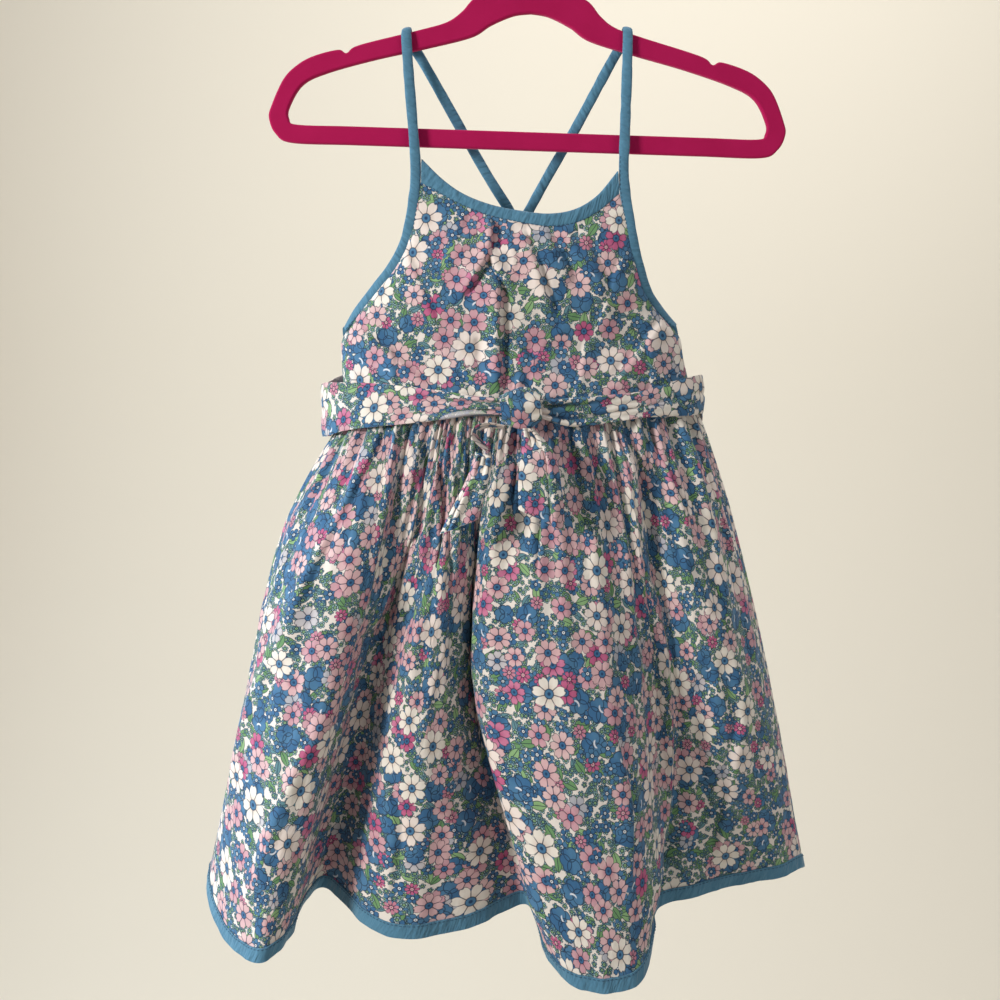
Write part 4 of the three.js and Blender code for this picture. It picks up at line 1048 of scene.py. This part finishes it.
def bodice_front_grid(rows, columns):
    top = np.array(NECK_LOWER) + [0, 0, 2]
    corners = top[0], top[-1]
    left = np.vstack([[corners[0]], inner_edge(ARMHOLE_LEFT, 1)[1:],
                      [(x, -0.3, z) for x, z in SIDE_LEFT]])
    right = np.vstack([[corners[1]], inner_edge(ARMHOLE_RIGHT, -1)[1:],
                       [(x, -0.3, z) for x, z in SIDE_RIGHT]])
    v = np.linspace(0, 1, rows)[:, None]
    turn = np.linspace(0, 180, columns)
    u = (1 - np.cos(np.radians(turn))) / 2
    head = curve_points(top, u)[None]
    foot = (waist_point(turn, WAIST_Z + SEAM_GAP) - [0, 0.3, 0])[None]
    side_l, side_r = (even_points(e, v[:, 0])[:, None] for e in (left, right))
    vv, uu = v[..., None], u[None, :, None]
    grid = lerp(head, foot, vv) + lerp(side_l, side_r, uu)
    grid = grid - lerp(lerp(corners[0], corners[1], uu), lerp(left[-1], right[-1], uu), vv)
    sine = np.sin(np.radians(turn))[None]
    inside = smoothstep(sine, 0, 0.3) * smoothstep(v, 0, 0.06) * (1 - smoothstep(v, 0.9, 1))
    near = smoothstep(sine, 0, 0.2) * smoothstep(v, 0, 0.03) * (1 - smoothstep(v, 0.97, 1))
    x, z = grid[..., 0], grid[..., 2]
    small = creases((x + 0.5 * z) / 30, (z - 0.2 * x) / 26, 4) - 0.4
    small = small + 0.6 * creases((x - 0.7 * z) / 24, z / 22, 6) - 0.2
    flat = hung_map(grid)
    out, shift_x, shift_z = fold_push(x, z)
    grid[..., 1] += 5 * np.sin(np.pi * v) * sine
    grid[..., 1] -= inside * out + near * 0.75 * small
    grid[..., 0] += inside * shift_x
    grid[..., 2] += inside * shift_z
    return grid, flat


def back_top(turn, below):
    share = np.sin(np.radians(turn - 180))
    side = np.where(turn < 270, -289.5, -291.5)
    z = lerp(side, -303, share**0.8) - below
    drop = (WAIST_Z - z) / (WAIST_Z + 291)
    x = lerp(WAIST_X, -12.5, drop) - lerp(WAIST_HALF, 117, drop) * np.cos(np.radians(turn))
    return np.stack([x, lerp(WAIST_BACK, 29, drop) * share + 0.3, z], -1)


def hung_map(grid):
    """A cloth map of nearly upright cloth: its run in x and y from the middle, and its height."""
    run = grid_run(grid[..., :2], 1)
    middle = grid.shape[1] // 2
    return np.stack([run - run[:, middle:middle + 1] + grid[:, middle:middle + 1, 0],
                     grid[..., 2]], -1)


def flat_map(grid):
    """A cloth map of a grid in millimetres, measured from its middle column and top row."""
    along, down = grid_run(grid, 1), grid_run(grid, 0)
    middle = grid.shape[1] // 2
    return np.stack([along - along[:, middle:middle + 1], -down], -1)


def add_bodice():
    grid, flat = bodice_front_grid(150, 230)
    piece = shell("cloth_bodice_front", grid, flat + [420, 700], CLOTH,
                  [floral, floral_back])
    cloth_piece(piece, "bodice_front")
    turn = np.linspace(181, 359, 180)
    top, foot = back_top(turn, STRAP_HALF - 1.5), waist_point(turn, WAIST_Z + SEAM_GAP)
    foot = foot + [0, 0.3, 0]
    down = np.linspace(0, 1, 40)[:, None]
    grid = lerp(top[None], foot[None], down[..., None])
    bend = 0.9 * noise(turn / 6, down * 1.4, 31) + 0.5 * noise(turn / 2.6, down * 1.1, 32)
    grid = grid + grid_normals(grid) * (bend * np.sin(np.pi * down))[..., None]
    piece = shell("cloth_bodice_back", grid, flat_map(grid) + [900, 1200], CLOTH,
                  [floral, floral_back])
    cloth_piece(piece, "bodice_back")
    edges = back_top(turn, -STRAP_HALF), back_top(turn, STRAP_HALF)
    grid = lerp(edges[0][None], edges[1][None], np.linspace(0, 1, 9)[:, None, None])
    uv = flat_map(grid)
    thick = round_section(grid, BINDING, 5)
    piece = shell("cloth_back_binding", grid, uv, thick, [blue, blue])
    cloth_piece(piece, "back_binding")
    face = grid_normals(grid)[7]
    stitch_row("stitches_back", grid[7] + face * thick[7][:, None] / 2, face)
    t = np.linspace(0, 1, 200)
    grid = lerp(even_points(NECK_UPPER, t)[None], even_points(NECK_LOWER, t)[None],
                np.linspace(0, 1, 11)[:, None, None])
    thick = round_section(grid, BINDING + 0.3, 8)
    piece = shell("cloth_neck_binding", grid, flat_map(grid), thick, [blue, blue])
    cloth_piece(piece, "neck_binding")
    face = grid_normals(grid)[9, 8:-8]
    stitch_row("stitches_neck", grid[9, 8:-8] + face * thick[9, 8:-8, None] / 2, face)


def round_section(grid, thickness, seed):
    """Thickness of a folded binding: full in the middle, thin at its edges, a little uneven."""
    across = np.linspace(-1, 1, len(grid))[:, None]
    run = grid_run(grid, 1)
    uneven = 1 + 0.14 * noise(run / 6, across * 1.5, seed)
    return thickness * np.sqrt(np.clip(1.05 - across**4, 0.06, 1)) * uneven


# Hanger

HANGER_OUTER = [
    (0, -60), (20, -62), (38, -69.6), (47, -79), (57, -86), (75, -91.6), (116, -102.7),
    (124.6, -108.2), (130.2, -106.2), (146, -110.4), (157.5, -116.5), (167.5, -126.5), (176, -145),
    (177.3, -153), (173, -162.5), (162, -168.2), (120, -168.4), (60, -168.4), (0, -168.4),
]
HANGER_INNER = [
    (0, -78.6), (12, -80.4), (27, -87), (40, -95), (70.6, -103.4), (106, -112), (138, -121.6),
    (154.5, -130), (163.5, -145), (163.6, -152.6), (158, -156.2), (120, -156.2), (60, -156.2),
    (0, -156.2),
]


def outline(half, count):
    """A smooth closed line through a half outline and its mirror image, x and z."""
    right = np.array(half, float)
    points = np.vstack([right, (right[1:-1] * [-1, 1])[::-1], right[:1]])
    place = np.linspace(0, len(points) - 1, 4000)
    i = np.minimum(place.astype(int), len(points) - 2)
    w = (place - i)[:, None]
    p0, p1 = points[np.maximum(i - 1, 0)], points[i]
    p2, p3 = points[i + 1], points[np.minimum(i + 2, len(points) - 1)]
    m1, m2 = (p2 - p0) / 2, (p3 - p1) / 2
    line = p1 + m1 * w + (-3 * p1 + 3 * p2 - 2 * m1 - m2) * w**2 + (
        2 * p1 - 2 * p2 + m1 + m2) * w**3
    run = np.concatenate([[0], np.cumsum(np.linalg.norm(np.diff(line, axis=0), axis=1))])
    even = np.linspace(0, run[-1], count + 1)[:-1]
    return np.stack([np.interp(even, run, line[:, k]) for k in (0, 1)], -1)


def leaned(points):
    """Turns points with x and z in the last axis by the hanger's lean about the hook."""
    lean = math.radians(HANGER_LEAN)
    x, z = points[..., 0], points[..., -1] + HOOK_RADIUS
    moved = points.copy()
    moved[..., 0] = x * math.cos(lean) + z * math.sin(lean)
    moved[..., -1] = z * math.cos(lean) - x * math.sin(lean) - HOOK_RADIUS
    return moved


def arm_top(x):
    line = leaned(outline(HANGER_OUTER, 720))
    line[:, 0] -= HANG_X
    order = np.argsort(np.where(line[:, 1] > -125, np.abs(line[:, 0] - x), 1e9))[:2]
    a, b = line[order[0]], line[order[1]]
    along = (b - a) / np.linalg.norm(b - a) * (1 if b[0] > a[0] else -1)
    return (a[1] + b[1]) / 2, np.array([-along[1], 0, along[0]])


def add_hanger():
    data = bpy.data.curves.new("hanger_outline", "CURVE")
    data.dimensions = "2D"
    data.fill_mode = "BOTH"
    edge = 1.5
    data.extrude = (HANGER_THICK / 2 - edge) * MM
    data.bevel_depth = edge * MM
    data.bevel_resolution = 4
    data.offset = -edge * MM
    for half, count in ((HANGER_OUTER, 520), (HANGER_INNER, 420)):
        line = leaned(outline(half, count)) * MM
        spline = data.splines.new("POLY")
        spline.points.add(count - 1)
        spline.points.foreach_set("co", np.column_stack(
            [line, np.zeros(count), np.ones(count)]).reshape(-1).astype(np.float32))
        spline.use_cyclic_u = True
    flat = bpy.data.objects.new("hanger_flat", data)
    bpy.context.scene.collection.objects.link(flat)
    bpy.context.view_layer.update()
    ready = flat.evaluated_get(bpy.context.evaluated_depsgraph_get())
    mesh = bpy.data.meshes.new_from_object(ready)
    bpy.data.objects.remove(flat)
    place = np.empty(len(mesh.vertices) * 3, np.float32)
    mesh.vertices.foreach_get("co", place)
    place = place.reshape(-1, 3)
    place = np.stack([place[:, 0], -place[:, 2], place[:, 1]], -1)
    mesh.vertices.foreach_set("co", place.reshape(-1))
    mesh.materials.clear()
    mesh.materials.append(flock)
    mesh.shade_smooth()
    mesh.set_sharp_from_angle(angle=math.radians(50))
    piece = bpy.data.objects.new("flocked_hanger", mesh)
    bpy.context.scene.collection.objects.link(piece)
    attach(piece, "root")
    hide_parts("hanger_frame")


def add_hook():
    radius = HOOK_RADIUS + HOOK_WIRE
    path = [(0, 0, -59.7), (0, 0, -54), (1.5, 0, -48)]
    for angle in range(-35, 206, 20):
        a = math.radians(angle)
        path.append((radius * math.cos(a), 0, radius * math.sin(a) - HOOK_RADIUS))
    line = leaned(even_points(path, np.linspace(0, 1, 180)))
    along = unit(np.gradient(line, axis=0))
    side = np.tile([0.0, 1.0, 0.0], (len(line), 1))
    out = unit(np.cross(along, side))
    end = np.linspace(0, 1, 180)
    half = HOOK_WIRE * np.sqrt(np.clip(1 - np.clip((end - 0.992) / 0.008, 0, 0.97) ** 2, 0, 1))
    piece = tube("hook_wire", line, side, out, half, 2 * half, 24, steel, shift=0)
    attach(piece, "root")
    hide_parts("hanger_hook")


# Straps
BOUND_LENGTH, STITCH_SIDE = 128, 0.82


def strap_path(armhole, top_x, back_route):
    turn = np.radians([row[3] for row in armhole])
    points = [row[:3] for row in armhole]
    faces = [(-math.sin(a), -math.cos(a), 0) for a in turn]
    top, tilt = arm_top(top_x)
    reach = HANGER_THICK / 2 + 0.55 + STRAP_THICK / 2
    for angle in (-90, -60, -30, 0, 30, 60, 90):
        up, back = math.cos(math.radians(angle)), math.sin(math.radians(angle))
        points.append((top_x, reach * back, top - 2.2 + reach * up))
        faces.append((tilt[0] * up, back, tilt[2] * up))
    points += back_route
    faces += [(0, 1, 0)] * len(back_route)
    return np.array(points), unit(np.array(faces, float))


def add_straps():
    armholes = {"left": ARMHOLE_LEFT, "right": ARMHOLE_RIGHT}
    for side, armhole in armholes.items():
        points, faces = strap_path(armhole, STRAP_TOP[side], STRAP_BACK[side])
        fine = np.linspace(0, 1, 4000)
        line = curve_points(points, fine)
        run = np.concatenate([[0], np.cumsum(np.linalg.norm(np.diff(line, axis=0), axis=1))])
        t = np.interp(np.linspace(0, run[-1], 520), run, fine)
        centres = curve_points(points, t)
        face = unit(np.stack([np.interp(t * (len(points) - 1), np.arange(len(points)), faces[:, k])
                              for k in range(3)], -1))
        along = unit(np.gradient(centres, axis=0))
        across = unit(np.cross(along, face))
        out = unit(np.cross(across, along))
        seed = 41 if side == "left" else 47
        place = np.linspace(0, run[-1], 520)
        # The strip turns slightly as it goes, and is fuller where it is a strap than a binding.
        flat = 1 - smoothstep(place, 100, 130)
        roll = 0.16 * noise(place / 26, 0 * place, seed) * smoothstep(place, 0, 60) * (1 - flat)
        across, out = (across * np.cos(roll)[:, None] + out * np.sin(roll)[:, None],
                       out * np.cos(roll)[:, None] - across * np.sin(roll)[:, None])
        half = STRAP_HALF * (1 + 0.05 * noise(place / 7, 0 * place, seed + 1)) * lerp(0.94, 1, flat)
        thick = lerp(STRAP_THICK, BINDING + 0.3, flat)
        thick = thick * (1 + 0.08 * noise(place / 5, 0 * place, seed + 2))
        piece = tube(f"cloth_strap_{side}", centres, across, out, half, thick, 20, blue)
        cloth_piece(piece, f"strap_{side}")
        bound = place < BOUND_LENGTH
        inner = STITCH_SIDE * (1 if side == "left" else -1)
        seam = (centres + across * (half * inner)[:, None]
                + out * (thick / 2 * math.sqrt(1 - STITCH_SIDE**2))[:, None])
        stitch_row(f"stitches_armhole_{side}", seam[bound],
                   unit(out + 0.5 * inner * across)[bound])


# Sash: turn round the waist, stand-off of its top and foot edges, and their heights.
SASH_LEFT = [
    (-165, 1.8, 11, -334, -359), (-130, 1.5, 12.5, -337, -363), (-90, 1.5, 13, -336, -365),
    (-50, 2, 13, -332, -366), (-22, 11, 15, -322, -367), (-4, 20, 20, -329, -366),
    (10, 17, 17, -327, -364.5), (25, 10, 13, -326.5, -359.5), (40, 5, 9.8, -327, -356),
    (54, 3.4, 7, -329, -353), (66, 4, 6.6, -331.5, -350), (76, 7.5, 8, -334.5, -346.5),
    (87.5, 11.5, 11.5, -336.5, -346.5),
]
SASH_RIGHT = [
    (92.5, 11.5, 11.5, -337, -347), (104, 7.5, 8.5, -335.5, -354.5), (116, 4, 7, -334, -352),
    (128, 3.4, 6, -332, -349.5), (140, 3.6, 6, -327, -349), (152, 5, 8, -323, -349),
    (165, 5, 7, -321.5, -348.5), (180, 3, 5, -324, -350), (195, 2.4, 11, -333.7, -358.7),
]
KNOT_X, KNOT_Y, KNOT_Z, KNOT_HALF = -6, -61.5, -342, 13
TURNED_ROWS, TURNED_WIDTH = (14, 44), 8


def sash_grid(table, start, end, rows, columns, seed):
    turn = np.linspace(start, end, rows)
    value = [table_value([r[0] for r in table], [r[k] for r in table], turn) for k in range(5)]
    top = waist_point(turn, value[3], value[1])
    foot = waist_point(turn, value[4], value[2])
    share = np.linspace(0, 1, columns)
    grid = lerp(top[:, None], foot[:, None], share[None, :, None])
    outward = unit(np.stack([top[:, 0] - WAIST_X, top[:, 1] * 3, 0 * turn], -1))[:, None]
    run = grid_run(grid, 0).mean(axis=1)
    # Lengthwise folds deepen towards the knot; shallow ones wander along the rest.
    distance = np.linalg.norm(grid.mean(axis=1) - [KNOT_X, KNOT_Y, KNOT_Z], axis=-1)[:, None]
    pull = np.exp(-((distance / 62) ** 2))
    wander = 0.12 * np.sin(run[:, None] / 17 + seed) + 0.1 * share[None] * np.cos(run[:, None] / 31)
    pleat = np.sin(2 * np.pi * (2.3 * share[None] + wander))
    pleat = pleat + 0.5 * np.sin(2 * np.pi * (4.1 * share[None] - 2 * wander) + seed)
    push = 1.7 * pleat * pull * smoothstep(distance, 9, 20)
    body = noise(run[:, None] / 24, share[None] * 2.2, seed) * 0.9
    body = body + noise(run[:, None] / 9, share[None] * 3, seed + 1) * 0.35
    middle = share[None] - 0.5 - 0.16 * noise(run[:, None] / 60, 0, seed + 2)
    line = np.exp(-((middle / 0.07) ** 2))
    push = push + (body - 0.9 * line) * (1 - 0.6 * pull) * smoothstep(distance, 10, 24)
    push = push + 0.5 * np.sin(np.pi * share)[None] * (1 - pull)
    grid = grid + outward * push[..., None]
    uv = np.stack(np.broadcast_arrays(run[:, None], -grid_run(grid, 1).mean(axis=0)[None]), -1)
    return grid, uv, run[-1]


def knot_grid(rows, columns):
    along = np.linspace(-1, 1, rows)[:, None]
    rings = [(-1, 7.8, 6.3), (-0.6, 10.5, 7.2), (0, 12.4, 8.4), (0.6, 11, 7.2), (1, 7.8, 5.8)]
    high = table_value([r[0] for r in rings], [r[1] for r in rings], along[:, 0])[:, None]
    deep = table_value([r[0] for r in rings], [r[2] for r in rings], along[:, 0])[:, None]
    angle = 2 * np.pi * np.arange(columns)[None] / columns
    # Pleats run over the knot from side to side and draw together at its ends.
    pleat = 1.6 * np.abs(np.sin(2.5 * angle + 0.7 * along)) ** 1.5 - 0.8
    pleat = pleat + 0.55 * np.sin(9 * angle - 2.2 * along)
    pleat = pleat * smoothstep(1 - np.abs(along), 0, 0.5) * (0.35 + 0.65 * (np.cos(angle) < 0.2))
    x = KNOT_X + along * KNOT_HALF + 0.7 * np.sin(2 * angle)
    grid = np.stack([x + 0 * angle, KNOT_Y + (deep + pleat) * np.cos(angle),
                     KNOT_Z + (high + pleat) * np.sin(angle)], -1)
    uv = np.stack(np.broadcast_arrays(along * KNOT_HALF * 1.2, angle * 10.5), -1)
    return grid, uv


TAILS = {
    "left": (
        [(-35.5, -73, -369.5), (-41, -77, -386), (-49.5, -81, -403), (-58.5, -85, -422)],
        [(-24.5, -76.4, -372.4), (-25.5, -79, -382), (-29, -82, -396), (-33.5, -84, -412)]),
    "right": (
        [(-5, -64.5, -355.1), (-6.5, -74, -373), (-7.8, -79, -389.4), (-7.8, -83, -406)],
        [(2.5, -64.5, -355.1), (16, -75, -371), (20.5, -80, -394), (22.6, -84, -420)]),
}
LOOP_NEAR = [(-16.5, -72, -352.4), (-28.8, -76, -350.5), (-36.5, -77.5, -353.5),
             (-38.2, -78, -359), (-33.5, -78, -365), (-27.2, -77.2, -370.4)]
LOOP_FAR = [(-18, -62, -355.8), (-27.5, -64.5, -354.6), (-32.4, -65, -356.6),
            (-33.4, -65.5, -359.4), (-31.4, -67, -363), (-28.2, -68.5, -366)]


def strip_between(one, other, rows, columns):
    t = np.linspace(0, 1, rows)
    share = np.linspace(0, 1, columns)
    return lerp(even_points(one, t)[:, None], even_points(other, t)[:, None],
                share[None, :, None]), t[:, None], share[None]


def show_turned_edge(piece, rows, columns):
    """The sash's foot is turned up left of the knot, where its paler wrong side shows."""
    first, last = TURNED_ROWS
    slot = np.empty(len(piece.data.polygons), np.int32)
    piece.data.polygons.foreach_get("material_index", slot)
    face = slot[:(rows - 1) * (columns - 1)].reshape(rows - 1, columns - 1)
    for row in range(first, last):
        width = round(TURNED_WIDTH * math.sin(math.pi * (row - first) / (last - first)) ** 0.6)
        face[row, columns - 1 - width:] = 1
    piece.data.polygons.foreach_set("material_index", slot)


def add_sash():
    left, left_uv, left_run = sash_grid(SASH_LEFT, 87.5, -12, 190, 36, 61)
    back, back_uv, back_run = sash_grid(SASH_LEFT, -12.3, -164.8, 210, 30, 65)
    right, right_uv, right_run = sash_grid(SASH_RIGHT, 92.5, 194.8, 190, 36, 69)
    stretches = {
        "left": (left, left_uv + [100, 90], left_run, "sash_left"),
        "back": (back, back_uv + [460, 140], back_run, "sash_back"),
        "right": (right, right_uv + [820, 260], right_run, "sash_right"),
    }
    for name, (grid, uv, run, node) in stretches.items():
        faces = [floral_back, floral] if name == "right" else [floral, floral_back]
        piece = shell(f"cloth_sash_{name}", grid, uv, SASH_CLOTH, faces, round_edge=True)
        if name == "left":
            show_turned_edge(piece, *grid.shape[:2])
        cloth_piece(piece, node)
    grid, uv = knot_grid(40, 96)
    piece = shell("cloth_sash_knot", grid, uv + [1203, 333], SASH_CLOTH, [floral, floral],
                  ring=True)
    cloth_piece(piece, "sash_knot")
    grid, _, _ = strip_between(LOOP_NEAR, LOOP_FAR, 80, 16)
    piece = shell("cloth_sash_loop", grid, flat_map(grid) + [1500, 77], SASH_CLOTH,
                  [floral, floral], round_edge=True)
    cloth_piece(piece, "sash_loop")
    for side, (one, other) in TAILS.items():
        grid, t, share = strip_between(one, other, 90, 40)
        wave = -1.4 * np.sin(np.pi * share) - 0.8 * np.sin(3 * np.pi * share)
        wave = wave + 0.8 * noise(t * 4 + share, share * 3, 73) * np.sin(np.pi * share)
        tight = np.exp(-((t / 0.25) ** 2)) * 1.6 * np.sin(7 * np.pi * share)
        # One edge of the tail is turned over towards the viewer in a narrow pleat.
        pleat, shift = fold_profile((share - (0.8 if side == "right" else 0.3)) / 0.14, -1)
        present = smoothstep(t, 0.12, 0.35)
        grid[..., 1] += (wave + tight * smoothstep(t, 0.01, 0.06)
                         - (2.8 if side == "right" else 1.6) * pleat * present)
        grid[..., 0] += 3 * shift * present
        piece = shell(f"cloth_sash_tail_{side}", grid, flat_map(grid) + [1700, 500 if side == "left"
                      else 640], SASH_CLOTH, [floral, floral_back], round_edge=True)
        cloth_piece(piece, f"sash_tail_{side}")


# Floor, light

def add_stage():
    material = bpy.data.materials.new("pale_floor")
    material.use_nodes = True
    shader = material.node_tree.nodes["Principled BSDF"]
    shader.inputs["Base Color"].default_value = (0.80, 0.735, 0.62, 1)
    shader.inputs["Roughness"].default_value = 0.9
    shader.inputs["Specular IOR Level"].default_value = 0.1
    floor, wall_y, bend, wide, high = -2.1, 2.4, 1.8, 8.0, 3.0
    profile = [(-5.0, floor), (wall_y - bend, floor)]
    for step in range(1, 13):
        a = math.radians(90 * step / 12)
        profile.append((wall_y - bend + bend * math.sin(a), floor + bend * (1 - math.cos(a))))
    profile.append((wall_y, high))
    points, faces = [], []
    for y, z in profile:
        points += [(-wide, y, z), (wide, y, z)]
    for k in range(len(profile) - 1):
        faces.append((2 * k, 2 * k + 1, 2 * k + 3, 2 * k + 2))
    mesh = bpy.data.meshes.new("pale_floor")
    mesh.from_pydata(points, [], faces)
    mesh.materials.append(material)
    mesh.shade_smooth()
    stage = bpy.data.objects.new("pale_floor", mesh)
    bpy.context.scene.collection.objects.link(stage)


# Soft lights: name, place, aim, size, watts and colour. A large soft key from the left, a cooler one
# at that side's edge, a weak fill from the right, and one for the wall.
LIGHTS = [
    ("key", (-1.85, -1.2, 0.2), (0, 0, -0.5), 0.55, 53, (1.0, 0.985, 0.97)),
    ("side", (-1.9, 0.25, -0.3), (0, 0, -0.4), 0.7, 27, (0.66, 0.84, 1.0)),
    ("fill", (1.5, -1.7, -1.1), (0.1, 0, -0.65), 1.2, 9, (1.0, 0.97, 0.94)),
    ("backdrop", (0.6, 0.6, 1.5), (0.5, 2.2, -0.7), 2.6, 43, (1.0, 0.985, 0.965)),
]
ROOM_COLOUR, ROOM_STRENGTH = (0.88, 0.93, 0.99, 1), 0.24


def add_lights():
    for name, place, aim, size, watts, colour in LIGHTS:
        data = bpy.data.lights.new(name, "AREA")
        data.shape = "DISK"
        data.size = size
        data.energy = watts
        data.color = colour
        light = bpy.data.objects.new(name, data)
        light.location = place
        direction = np.array(aim, float) - np.array(place, float)
        flat = math.hypot(direction[0], direction[1])
        light.rotation_euler = (math.atan2(flat, -direction[2]), 0,
                                math.atan2(direction[1], direction[0]) - math.pi / 2)
        bpy.context.scene.collection.objects.link(light)
    world = bpy.data.worlds.new("soft_room")
    world.use_nodes = True
    world.node_tree.nodes["Background"].inputs["Color"].default_value = ROOM_COLOUR
    world.node_tree.nodes["Background"].inputs["Strength"].default_value = ROOM_STRENGTH
    bpy.context.scene.world = world


add_skirt()
add_bodice()
add_hanger()
add_hook()
add_straps()
add_sash()
add_stage()
add_lights()

bpy.context.scene.view_settings.view_transform = "Standard"
